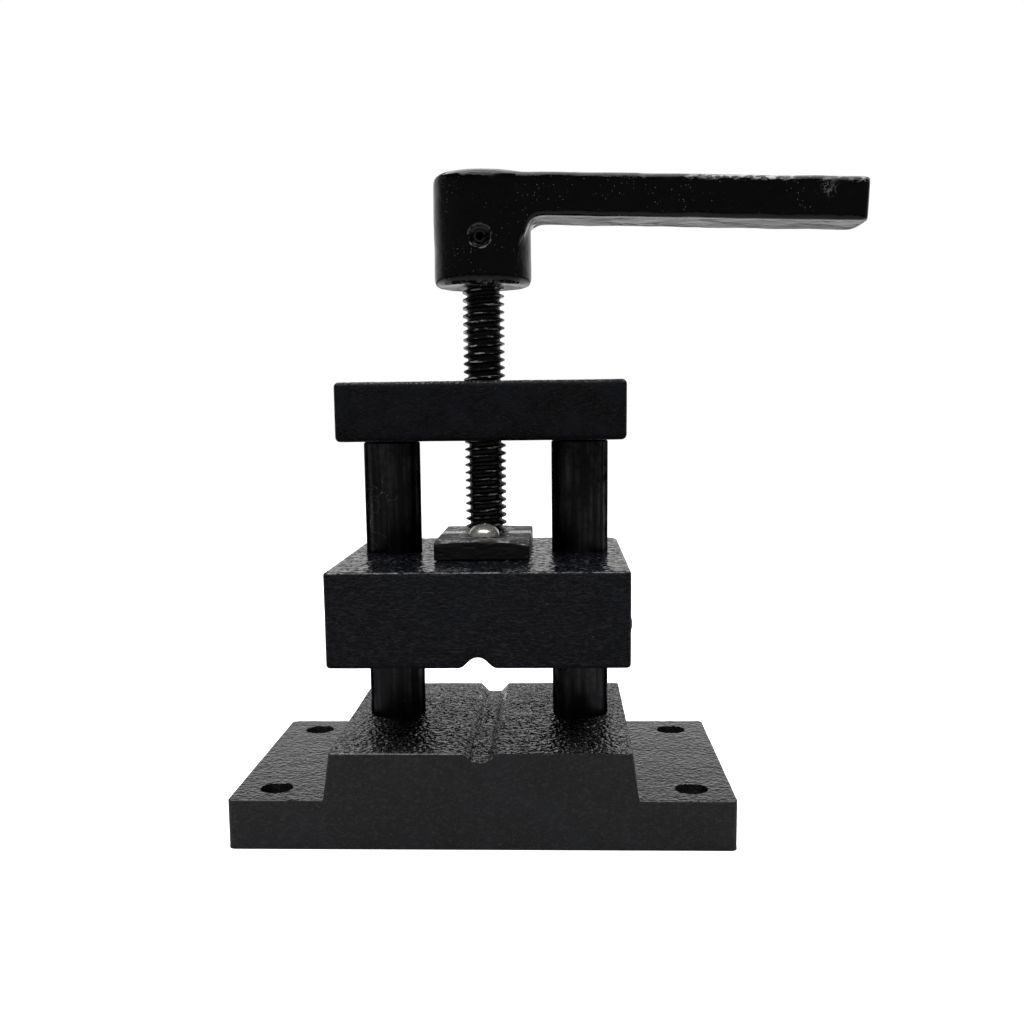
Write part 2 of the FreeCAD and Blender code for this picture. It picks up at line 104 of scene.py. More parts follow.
class Graph:
    """A node tree with short ways to add and join nodes."""

    def __init__(self, tree: Tree) -> None:
        """Start from an empty tree."""
        self.tree = tree
        tree.nodes.clear()

    def add(self, kind: str, **settings: object) -> Node:
        """Add a node and set its properties.

        Args:
            kind: Name of the node's class.
            settings: Properties of the node by name.

        Returns:
            The new node.
        """
        node = self.tree.nodes.new(kind)
        for name, value in settings.items():
            setattr(node, name, value)
        return node

    def feed(self, socket: Socket, value: object) -> None:
        """Join a socket to another, or set its own value."""
        if isinstance(value, Socket):
            self.tree.links.new(value, socket)
        else:
            socket.default_value = value

    def fill(self, node: Node, **values: object) -> Node:
        """Feed a node's inputs by name, with _ for a space in a name."""
        for name, value in values.items():
            self.feed(node.inputs[name.replace("_", " ")], value)
        return node

    def math(self, operation: str, first: object, second: object = 0.0) -> Socket:
        """Combine two numbers.

        Args:
            operation: A Math node's operation.
            first: Socket or number.
            second: Socket or number.

        Returns:
            The result's socket.
        """
        node = self.add("ShaderNodeMath", operation=operation)
        self.feed(node.inputs[0], first)
        self.feed(node.inputs[1], second)
        return node.outputs[0]

    def times(self, first: object, second: object) -> Socket:
        """Product of two numbers."""
        return self.math("MULTIPLY", first, second)

    def plus(self, first: object, second: object) -> Socket:
        """Sum of two numbers."""
        return self.math("ADD", first, second)

    def minus(self, first: object, second: object) -> Socket:
        """Difference of two numbers."""
        return self.math("SUBTRACT", first, second)

    def size(self, value: object) -> Socket:
        """A number without its sign."""
        return self.math("ABSOLUTE", value)

    def greater(self, first: object, second: object) -> Socket:
        """The greater of two numbers."""
        return self.math("MAXIMUM", first, second)

    def hypot(self, first: object, second: object) -> Socket:
        """Length of the long side over two square ones."""
        return self.math("SQRT", self.plus(self.times(first, first), self.times(second, second)))

    def split(self, vector: object) -> object:
        """The parts of a vector, as sockets named X, Y and Z."""
        node = self.add("ShaderNodeSeparateXYZ")
        self.feed(node.inputs[0], vector)
        return node.outputs

    def band(self, value: object, low: float, high: float, to: Point = (0.0, 1.0)) -> Socket:
        """Smooth step of a value from low to high.

        Args:
            value: Socket to be remapped.
            low: Where the step starts.
            high: Where the step ends.
            to: The results before and after the step.

        Returns:
            The remapped socket.
        """
        node = self.add("ShaderNodeMapRange", interpolation_type="SMOOTHSTEP")
        self.fill(node, Value=value, From_Min=low, From_Max=high, To_Min=to[0], To_Max=to[1])
        return node.outputs["Result"]

    def noise(self, vector: object, scale: object, detail: float = 2.0, warp: float = 0.0) -> Socket:
        """Noise value, about 0 to 1, on a vector.

        Args:
            vector: Socket of the coordinates.
            scale: Socket or number, in cells a metre.
            detail: Octaves.
            warp: Distortion.

        Returns:
            The value's socket.
        """
        node = self.add("ShaderNodeTexNoise")
        return self.fill(node, Vector=vector, Scale=scale, Detail=detail, Distortion=warp).outputs["Fac"]

    def stretch(self, vector: object, scale: tuple[float, float, float]) -> Socket:
        """Coordinates scaled along each axis."""
        node = self.add("ShaderNodeMapping")
        return self.fill(node, Vector=vector, Scale=scale).outputs["Vector"]

    def blend(self, factor: object, first: object, second: object) -> Socket:
        """Mix two colours.

        Args:
            factor: Socket or number from 0 to 1.
            first: Colour at 0.
            second: Colour at 1.

        Returns:
            The colour's socket.
        """
        node = self.add("ShaderNodeMix", data_type="RGBA")
        self.feed(node.inputs[0], factor)
        self.feed(node.inputs[6], first)
        self.feed(node.inputs[7], second)
        return node.outputs[2]

    def mix(self, factor: object, first: object, second: object) -> Socket:
        """Mix two numbers by a factor."""
        node = self.add("ShaderNodeMix", data_type="FLOAT")
        self.feed(node.inputs[0], factor)
        self.feed(node.inputs[2], first)
        self.feed(node.inputs[3], second)
        return node.outputs[0]

    def bump(self, height: object, distance: float, below: object = None, strength: object = 1.0) -> Socket:
        """Bump a surface.

        Args:
            height: Socket of the height, 0 to 1.
            distance: Height in metres that a value of 1 stands for.
            below: Normal of a coarser bump, or None.
            strength: Socket or number from 0 to 1.

        Returns:
            The normal's socket.
        """
        node = self.add("ShaderNodeBump")
        self.fill(node, Height=height, Strength=strength, Distance=distance)
        if below is not None:
            self.feed(node.inputs["Normal"], below)
        return node.outputs["Normal"]

    def group(self, tree: Tree, **values: object) -> Node:
        """Place a shared group and feed its inputs by name."""
        node = self.add("ShaderNodeGroup")
        node.node_tree = tree
        return self.fill(node, **values)


def new_group(name: str, inputs: dict[str, object], outputs: tuple[str, ...]) -> tuple[Graph, dict, Node]:
    """Make an empty shader group with named sockets.

    Args:
        name: The group's name.
        inputs: Default values by socket name; None makes a vector.
        outputs: Names of the value sockets that it puts out.

    Returns:
        The graph, its input sockets by name, and the output node.
    """
    tree = bpy.data.node_groups.new(name, "ShaderNodeTree")
    for socket, default in inputs.items():
        kind = "NodeSocketVector" if default is None else "NodeSocketFloat"
        item = tree.interface.new_socket(name=socket, in_out="INPUT", socket_type=kind)
        if default is not None:
            item.default_value = default
    for socket in outputs:
        tree.interface.new_socket(name=socket, in_out="OUTPUT", socket_type="NodeSocketFloat")
    graph = Graph(tree)
    source = graph.add("NodeGroupInput")
    sink = graph.add("NodeGroupOutput")
    return graph, {name: source.outputs[name] for name in inputs}, sink


class Effects:
    """Node groups for surface effects, each made once."""

    def __init__(self) -> None:
        """Make the groups."""
        self.peel = self.make_peel()
        self.specks = self.make_specks()
        self.worn_line = self.make_rub_and_highlight_line()
        self.streaks = self.make_streaks()
        self.blotches = self.make_blotches()

    def make_peel(self) -> Tree:
        """Wrinkled skin of thick paint over sand-cast iron."""
        graph, value, sink = new_group("peel", {"Vector": None, "Cells": 900.0, "Wander": 0.35}, ("Height",))
        warp = graph.add("ShaderNodeTexNoise")
        graph.fill(warp, Vector=value["Vector"], Scale=graph.times(value["Cells"], 0.45))
        shift = graph.add("ShaderNodeVectorMath", operation="SCALE")
        graph.feed(shift.inputs[0], warp.outputs["Color"])
        graph.feed(shift.inputs["Scale"], graph.math("DIVIDE", value["Wander"], value["Cells"]))
        moved = graph.add("ShaderNodeVectorMath", operation="ADD")
        graph.feed(moved.inputs[0], value["Vector"])
        graph.feed(moved.inputs[1], shift.outputs[0])
        cells = graph.add("ShaderNodeTexVoronoi", feature="SMOOTH_F1")
        graph.fill(cells, Vector=moved.outputs[0], Scale=value["Cells"], Smoothness=0.8)
        dome = graph.minus(1.0, cells.outputs["Distance"])
        broad = graph.noise(value["Vector"], graph.times(value["Cells"], 0.3), 3.0, 0.6)
        graph.fill(sink, Height=graph.mix(0.45, dome, broad))
        return graph.tree

    def make_specks(self) -> Tree:
        """Scattered dust and pinholes, as a mask."""
        graph, value, sink = new_group("specks", {"Vector": None, "Cells": 700.0, "Amount": 0.1}, ("Mask",))
        cells = graph.add("ShaderNodeTexVoronoi", feature="F1")
        graph.fill(cells, Vector=value["Vector"], Scale=value["Cells"])
        chance = graph.add("ShaderNodeSeparateColor")
        graph.feed(chance.inputs[0], cells.outputs["Color"])
        size = graph.band(chance.outputs[1], 0.0, 1.0, (0.3, 1.0))
        dot = graph.band(graph.math("DIVIDE", cells.outputs["Distance"], size), 0.08, 0.26, FADE_OUT)
        chosen = graph.math("LESS_THAN", chance.outputs[0], value["Amount"])
        faint = graph.band(chance.outputs[2], 0.0, 1.0, (0.35, 1.0))
        graph.fill(sink, Mask=graph.times(graph.times(dot, chosen), faint))
        return graph.tree

    def make_rub_and_highlight_line(self) -> Tree:
        """Broken bright line along X at one place in Y and Z, for rubbed edges and for painted edge
        highlights.
        """
        inputs = {"Vector": None, "Y": 0.0, "Z": 0.0, "Width": 0.001, "Cover": 0.5, "Cells": 120.0}
        graph, value, sink = new_group("worn_line", inputs, ("Mask",))
        split = graph.split(value["Vector"])
        across = graph.minus(split["Y"], value["Y"])
        up = graph.minus(split["Z"], value["Z"])
        away = graph.math("DIVIDE", graph.hypot(across, up), value["Width"])
        ragged = graph.noise(value["Vector"], graph.times(value["Cells"], 6.0), 3.0, 0.4)
        near = graph.band(graph.plus(away, ragged), 0.75, 1.5, FADE_OUT)
        broken = graph.noise(value["Vector"], value["Cells"], 4.0, 1.0)
        kept = graph.band(graph.plus(broken, value["Cover"]), 0.95, 1.1)
        graph.fill(sink, Mask=graph.times(near, kept))
        return graph.tree

    def make_streaks(self) -> Tree:
        """Fine lines drawn out along Z, from turning, grinding or handling."""
        inputs = {"Vector": None, "Cells": 500.0, "Length": 0.05}
        graph, value, sink = new_group("streaks", inputs, ("Value", "Scratch"))
        squash = graph.fill(graph.add("ShaderNodeCombineXYZ"), X=1.0, Y=1.0, Z=value["Length"])
        drawn = graph.add("ShaderNodeVectorMath", operation="MULTIPLY")
        graph.feed(drawn.inputs[0], value["Vector"])
        graph.feed(drawn.inputs[1], squash.outputs[0])
        fine = graph.noise(drawn.outputs[0], value["Cells"], 4.0, 0.3)
        graph.fill(sink, Value=fine)
        wave = graph.noise(value["Vector"], 60.0, 3.0, 2.5)
        hair = graph.size(graph.minus(wave, 0.5))
        line = graph.band(hair, 0.0, 0.006, FADE_OUT)
        patch = graph.band(graph.noise(value["Vector"], 34.0, 1.0), 0.58, 0.66)
        graph.fill(sink, Scratch=graph.times(line, patch))
        return graph.tree

    def make_blotches(self) -> Tree:
        """Soft uneven patches of two sizes, for paint that dried patchily."""
        graph, value, sink = new_group("blotches", {"Vector": None, "Cells": 45.0}, ("Value",))
        wide = graph.noise(value["Vector"], value["Cells"], 3.0, 0.8)
        small = graph.noise(value["Vector"], graph.times(value["Cells"], 7.0), 4.0, 0.4)
        graph.fill(sink, Value=graph.mix(0.35, wide, small))
        return graph.tree


# ----------------------------------------------------------------------------- finishes


def start_material(name: str) -> tuple[Material, Graph, Node, Node]:
    """Make a material with a Principled shader.

    Args:
        name: The material's name.

    Returns:
        The material, its graph, the shader node and the coordinates node.
    """
    material = bpy.data.materials.new(name)
    material.use_nodes = True
    graph = Graph(material.node_tree)
    shader = graph.add("ShaderNodeBsdfPrincipled")
    output = graph.add("ShaderNodeOutputMaterial")
    graph.feed(output.inputs["Surface"], shader.outputs["BSDF"])
    return material, graph, shader, graph.add("ShaderNodeTexCoord")


@dataclass(frozen=True)
class Finish:
    """Recipe of a material."""

    name: str

    def build(self, effects: Effects) -> Material:
        """Make the material.

        Args:
            effects: The shared groups.

        Returns:
            The finished material.
        """
        material, graph, shader, coords = start_material(self.name)
        self.paint(effects, graph, shader, coords)
        return material

    def paint(self, effects: Effects, graph: Graph, shader: Node, coords: Node) -> None:
        """Add what this finish needs to a new material.

        Args:
            effects: The shared groups.
            graph: The material's nodes.
            shader: Its Principled shader.
            coords: Its coordinates.
        """
        raise NotImplementedError


@dataclass(frozen=True)
class CastPaint(Finish):
    """Black paint over a casting: glossy and wrinkled on top, satin on the sides, with painted highlights on
    the top's grit peaks and the sides' ripple crests, and a bright edge line that is part rubbed paint, part
    painted highlight.
    """

    tone: Colour = (0.0026, 0.0030, 0.0042, 1.0)
    dust_tone: Colour = (0.22, 0.22, 0.22, 1.0)
    # Colour of the bright top front edge line: part rubbed paint, part painted highlight
    worn_edge_highlight_tone: Colour = (0.55, 0.54, 0.52, 1.0)
    top_roughness: float = 0.15
    side_roughness: float = 0.46
    gloss: float = 0.5
    peel_cells: float = 850.0
    peel_depth: float = 0.0009
    side_peel_share: float = 0.12
    calm_below: float = -1.0
    calm_share: float = 0.75
    edge_line_metallic: float = 0.85
    # Painted highlight: lighter colour of the grit peaks on the upward faces
    peel_highlight_tone: Colour = (0.11, 0.11, 0.112, 1.0)
    pit_roughness: float = 0.5
    # Painted highlight: lighter colour of the ripple crests on the sides
    ripple_highlight_tone: Colour = (0.011, 0.0115, 0.0130, 1.0)
    patch_gain: float = 3.0
    ripple_stretch: float = 0.45
    ripple_cells: float = 1500.0
    ripple_depth: float = 0.00010
    patch_contrast: float = 0.10
    speck_amount: float = 0.02
    edge_line_y: float = 0.0
    edge_line_z: float = -1.0
    edge_line_width: float = 0.0006
    edge_line_cover: Point = (0.5, 0.5)

    def paint(self, effects: Effects, graph: Graph, shader: Node, coords: Node) -> None:
        """Lay the paint's nodes."""
        place = coords.outputs["Object"]
        facing = graph.split(coords.outputs["Normal"])
        top = graph.band(facing["Z"], 0.35, 0.62)
        wrinkle = graph.group(effects.peel, Vector=place, Cells=self.peel_cells).outputs["Height"]
        grit = graph.noise(place, 1.3 * self.peel_cells, 3.0, 0.3)
        blotch = graph.group(effects.blotches, Vector=place).outputs["Value"]
        speck = graph.group(effects.specks, Vector=place, Amount=self.speck_amount).outputs["Mask"]
        across = graph.split(place)
        cover = graph.band(across["X"], -0.02, 0.02, self.edge_line_cover)
        # Broken bright line along the top front edge: partly rubbed paint, partly a painted highlight where
        # the edge catches the light
        worn = graph.group(
            effects.worn_line, Vector=place, Y=self.edge_line_y, Z=self.edge_line_z, Width=self.edge_line_width, Cover=cover
        ).outputs["Mask"]
        calm = graph.band(across["Z"], self.calm_below, self.calm_below + 0.004, (self.calm_share, 1.0))
        drawn = graph.stretch(place, (self.ripple_stretch, self.ripple_stretch, 1.0))
        ripple = graph.noise(drawn, self.ripple_cells, 3.0, 1.4)
        on_side = graph.minus(1.0, top)
        lighter = tuple(self.patch_gain * part for part in self.tone[:3]) + (1.0,)
        patchy = graph.blend(graph.band(blotch, 0.4, 0.72), self.tone, lighter)
        # Painted highlight: the sides' ripple crests get a lighter colour, for the light that the ripples
        # catch
        crest = graph.times(graph.band(ripple, 0.5, 0.64), on_side)
        rippling = graph.blend(crest, patchy, self.ripple_highlight_tone)
        # Painted highlight: grit peaks on the upward faces get a lighter colour, for the glints of the
        # wrinkled paint
        peel_highlight = graph.times(graph.times(graph.band(grit, 0.55, 0.66), top), calm)
        shade = graph.blend(peel_highlight, rippling, self.peel_highlight_tone)
        dusty = graph.blend(graph.times(speck, 0.6), shade, self.dust_tone)
        graph.fill(shader, Base_Color=graph.blend(worn, dusty, self.worn_edge_highlight_tone))
        graph.fill(shader, Metallic=graph.times(worn, self.edge_line_metallic))
        gritty = graph.times(graph.band(grit, 0.38, 0.47, FADE_OUT), calm)
        rough = graph.mix(top, self.side_roughness, graph.mix(gritty, self.top_roughness, self.pit_roughness))
        spread = (-self.patch_contrast / 2.0, self.patch_contrast / 2.0)
        graph.fill(shader, Roughness=graph.plus(rough, graph.band(blotch, 0.35, 0.7, spread)))
        graph.fill(shader, Specular_IOR_Level=self.gloss)
        rippled = graph.bump(ripple, self.ripple_depth, None, on_side)
        strength = graph.times(graph.mix(top, self.side_peel_share, 1.0), calm)
        graph.fill(shader, Normal=graph.bump(wrinkle, self.peel_depth, rippled, strength))


@dataclass(frozen=True)
class Enamel(Finish):
    """Thick glossy enamel with lumps and dust, and chips along one edge that also paint that edge's
    highlight.
    """

    chip_glint_y: float
    chip_glint_z: float
    chip_glint_from_x: float
    rim_z: float
    ring_z: float
    droop: float
    scuff_x: float = 0.128
    scuff_drop: float = 0.0075
    ring_radius: float = 0.0043
    tone: Colour = (0.0012, 0.0013, 0.0017, 1.0)
    dust_tone: Colour = (0.25, 0.25, 0.25, 1.0)
    # Chip colour, also a painted highlight along the arm's top front edge
    chip_and_glint_tone: Colour = (0.34, 0.335, 0.32, 1.0)
    gloss: float = 0.34

    def chipped_glinting_edge(self, effects: Effects, graph: Graph, place: Socket, at: object) -> Socket:
        """Mask of the chips along the arm's drooping front edge, which also paint the highlight of that
        rounded edge.

        Args:
            effects: The shared groups.
            graph: The material's nodes.
            place: Coordinates.
            at: Their parts by name.

        Returns:
            The mask.
        """
        out_along = graph.band(at["X"], self.chip_glint_from_x - 0.05, self.chip_glint_from_x + 0.02)
        slope = graph.times(at["X"], math.tan(math.radians(self.droop)))
        level = graph.add("ShaderNodeCombineXYZ")
        graph.fill(level, X=at["X"], Y=at["Y"], Z=graph.plus(at["Z"], slope))
        # Broken bright line along the top front edge: partly chipped enamel, partly a painted highlight where
        # the rounded edge catches the light
        line = graph.group(
            effects.worn_line, Vector=level.outputs[0], Y=self.chip_glint_y, Z=self.chip_glint_z,
            Width=0.0015, Cover=0.56, Cells=110.0,
        ).outputs["Mask"]
        flaked = graph.band(graph.noise(graph.stretch(place, (0.3, 1.0, 1.0)), 1200.0, 3.0, 0.5), 0.45, 0.57)
        return graph.times(graph.times(line, flaked), out_along)

    def rubs(self, graph: Graph, place: Socket, at: object) -> Socket:
        """Mask of the scuff near the tip, the hub's rubbed lower rim and the ring round the pin.

        Args:
            graph: The material's nodes.
            place: Coordinates.
            at: Their parts by name.

        Returns:
            The mask.
        """
        swirl = graph.size(graph.minus(graph.noise(place, 230.0, 3.0, 2.0), 0.5))
        aside = graph.minus(at["X"], self.scuff_x)
        away = graph.hypot(aside, graph.minus(at["Z"], self.chip_glint_z - self.scuff_drop))
        near = graph.band(away, 0.001, 0.0040, (0.35, 0.0))
        scuff = graph.times(graph.band(swirl, 0.01, 0.05, FADE_OUT), near)
        front = graph.band(at["Y"], self.chip_glint_y, self.chip_glint_y + 0.003, FADE_OUT)
        low_rim = graph.band(at["Z"], self.rim_z + 0.0006, self.rim_z + 0.002, FADE_OUT)
        rubbed = graph.times(low_rim, graph.band(graph.noise(place, 330.0, 4.0, 0.8), 0.48, 0.62, (0.0, 0.5)))
        from_pin = graph.hypot(at["X"], graph.minus(at["Z"], self.ring_z))
        off_ring = graph.size(graph.minus(from_pin, self.ring_radius))
        broken = graph.band(graph.noise(place, 520.0, 3.0, 0.5), 0.42, 0.56, (0.0, 0.4))
        ring = graph.times(graph.band(off_ring, 0.0001, 0.0005, FADE_OUT), broken)
        return graph.greater(graph.greater(graph.times(scuff, front), rubbed), ring)

    def paint(self, effects: Effects, graph: Graph, shader: Node, coords: Node) -> None:
        """Lay the enamel, its dust, and the chips and rubs through it, the edge chips doubling as a painted
        highlight.
        """
        place = coords.outputs["Object"]
        at = graph.split(place)
        dots = graph.group(effects.specks, Vector=place, Cells=1150.0, Amount=0.45).outputs["Mask"]
        speck = graph.times(dots, graph.band(graph.noise(place, 75.0, 3.0), 0.42, 0.62, (0.1, 1.0)))
        chips_rubs_and_glints = graph.greater(self.chipped_glinting_edge(effects, graph, place, at), self.rubs(graph, place, at))
        dusty = graph.blend(graph.times(speck, 0.45), self.tone, self.dust_tone)
        smear = graph.band(graph.noise(place, 70.0, 4.0, 1.2), 0.4, 0.75, (0.07, 0.22))
        lumps = graph.bump(graph.noise(place, 130.0, 3.0, 0.5), 0.00035)
        wrinkle = graph.group(effects.peel, Vector=place, Cells=420.0).outputs["Height"]
        pitted = graph.bump(wrinkle, 0.00005, lumps)
        graph.fill(
            shader,
            Base_Color=graph.blend(chips_rubs_and_glints, dusty, self.chip_and_glint_tone),
            Metallic=graph.times(chips_rubs_and_glints, 0.3),
            Roughness=graph.plus(smear, graph.times(chips_rubs_and_glints, 0.25)),
            Specular_IOR_Level=self.gloss,
            Normal=graph.bump(speck, 0.00012, pitted),
        )


@dataclass(frozen=True)
class ColumnSteel(Finish):
    """Blackened round bar with streaks along it and a few hairline scratches."""

    tone: Colour = (0.020, 0.0204, 0.0222, 1.0)
    rub_tone: Colour = (0.095, 0.0955, 0.099, 1.0)
    edge_tint: Colour = (0.28, 0.28, 0.28, 1.0)
    scratch_tone: Colour = (0.32, 0.315, 0.31, 1.0)
    scratch_gain: float = 0.6

    def paint(self, effects: Effects, graph: Graph, shader: Node, coords: Node) -> None:
        """Lay the bar's nodes."""
        place = coords.outputs["Object"]
        streak = graph.group(effects.streaks, Vector=place, Cells=420.0, Length=0.04)
        blotch = graph.group(effects.blotches, Vector=place, Cells=60.0).outputs["Value"]
        rubbed = graph.times(graph.band(streak.outputs["Value"], 0.4, 0.72), graph.band(blotch, 0.35, 0.65))
        shade = graph.blend(rubbed, self.tone, self.rub_tone)
        scratch = graph.times(streak.outputs["Scratch"], self.scratch_gain)
        graph.fill(shader, Base_Color=graph.blend(scratch, shade, self.scratch_tone))
        graph.fill(shader, Roughness=graph.band(blotch, 0.3, 0.7, (0.24, 0.4)))
        graph.fill(shader, Metallic=1.0)
        graph.fill(shader, Specular_Tint=self.edge_tint)
        fine = graph.bump(streak.outputs["Value"], 0.00002)
        graph.fill(shader, Normal=graph.bump(graph.noise(place, 110.0, 2.0), 0.00008, fine))


@dataclass(frozen=True)
class ScrewSteel(Finish):
    """Oiled black oxide thread with lighter crests, partly rubbed bright and partly a painted highlight."""

    axis_y: float
    crest_radius: float
    tone: Colour = (0.006, 0.006, 0.0065, 1.0)
    crest_rub_highlight_tone: Colour = (0.62, 0.61, 0.59, 1.0)

    def paint(self, effects: Effects, graph: Graph, shader: Node, coords: Node) -> None:
        """Lay the oxide and the lighter crests, part rubbed and part painted highlight."""
        place = coords.outputs["Object"]
        split = graph.split(place)
        radius = graph.hypot(split["X"], graph.minus(split["Y"], self.axis_y))
        grime = graph.noise(place, 260.0, 4.0, 0.6)
        crest = graph.band(radius, self.crest_radius - 0.0003, self.crest_radius)
        drawn = graph.noise(graph.stretch(place, (0.2, 0.2, 1.0)), 1300.0, 2.0, 0.3)
        # Lighter crests: partly rubbed oxide, partly a painted highlight of the light that the crests catch
        rubbed = graph.times(crest, graph.band(drawn, 0.53, 0.66))
        graph.fill(shader, Base_Color=graph.blend(rubbed, self.tone, self.crest_rub_highlight_tone))
        graph.fill(shader, Metallic=graph.mix(rubbed, 0.35, 0.5))
        graph.fill(shader, Roughness=graph.band(grime, 0.3, 0.7, (0.2, 0.38)))
        graph.fill(shader, Normal=graph.bump(grime, 0.00004))


@dataclass(frozen=True)
class ShearedSteel(Finish):
    """Dark hot-rolled plate: smeared top, striated cut edges, and a painted highlight along the split between
    the halves.
    """

    split_y: float
    top_z: float
    tone: Colour = (0.028, 0.028, 0.029, 1.0)
    cut_tone: Colour = (0.003, 0.003, 0.0035, 1.0)
    smear_tone: Colour = (0.50, 0.497, 0.49, 1.0)
    # Painted highlight: colour of the bright line along the split's top edges
    split_highlight_tone: Colour = (0.74, 0.735, 0.72, 1.0)

    def paint(self, effects: Effects, graph: Graph, shader: Node, coords: Node) -> None:
        """Lay the plate's nodes."""
        place = coords.outputs["Object"]
        facing = graph.split(coords.outputs["Normal"])
        top = graph.band(facing["Z"], 0.4, 0.8)
        drawn = graph.noise(graph.stretch(place, (0.3, 0.3, 1.0)), 620.0, 4.0, 0.9)
        # Painted highlight: a bright line along the top edges at the split between the two halves, where the
        # edges catch the light
        bright = graph.group(
            effects.worn_line, Vector=place, Y=self.split_y, Z=self.top_z,
            Width=0.0065, Cover=0.76, Cells=200.0,
        ).outputs["Mask"]
        fleck = graph.noise(graph.stretch(place, (0.5, 0.35, 1.0)), 1300.0, 3.0, 0.4)
        mottle = graph.times(graph.band(drawn, 0.46, 0.6), graph.band(fleck, 0.44, 0.56, (0.15, 1.0)))
        smear = graph.times(mottle, top)
        ground = graph.blend(top, self.cut_tone, self.tone)
        smeared = graph.blend(smear, ground, self.smear_tone)
        graph.fill(shader, Base_Color=graph.blend(bright, smeared, self.split_highlight_tone))
        polished = graph.greater(bright, graph.times(smear, 0.5))
        graph.fill(shader, Metallic=graph.mix(polished, 0.2, 1.0))
        graph.fill(shader, Specular_IOR_Level=0.35)
        graph.fill(shader, Roughness=graph.mix(polished, 0.5, 0.26))
        broad = graph.bump(graph.noise(place, 160.0, 2.0), 0.0003)
        graph.fill(shader, Normal=graph.bump(drawn, 0.0004, broad))


@dataclass(frozen=True)
class PlainSteel(Finish):
    """Machined or plated steel with a fine brushed grain and some grime."""

    tone: Colour
    roughness: float
    metallic: float = 1.0
    grime_tone: Colour = (0.05, 0.05, 0.05, 1.0)
    grime_gain: float = 0.25

    def paint(self, effects: Effects, graph: Graph, shader: Node, coords: Node) -> None:
        """Lay the metal and its grime."""
        place = coords.outputs["Object"]
        blotch = graph.group(effects.blotches, Vector=place, Cells=160.0).outputs["Value"]
        dirty = graph.times(graph.band(blotch, 0.45, 0.7), self.grime_gain)
        graph.fill(shader, Base_Color=graph.blend(dirty, self.tone, self.grime_tone))
        graph.fill(shader, Metallic=self.metallic)
        spread = (self.roughness, self.roughness + 0.14)
        graph.fill(shader, Roughness=graph.band(blotch, 0.3, 0.7, spread))
        grain = graph.noise(graph.stretch(place, (1.0, 1.0, 0.1)), 2600.0, 2.0)
        graph.fill(shader, Normal=graph.bump(grain, 0.00001))


# ------------------------------------------------------------------------- mesh shop


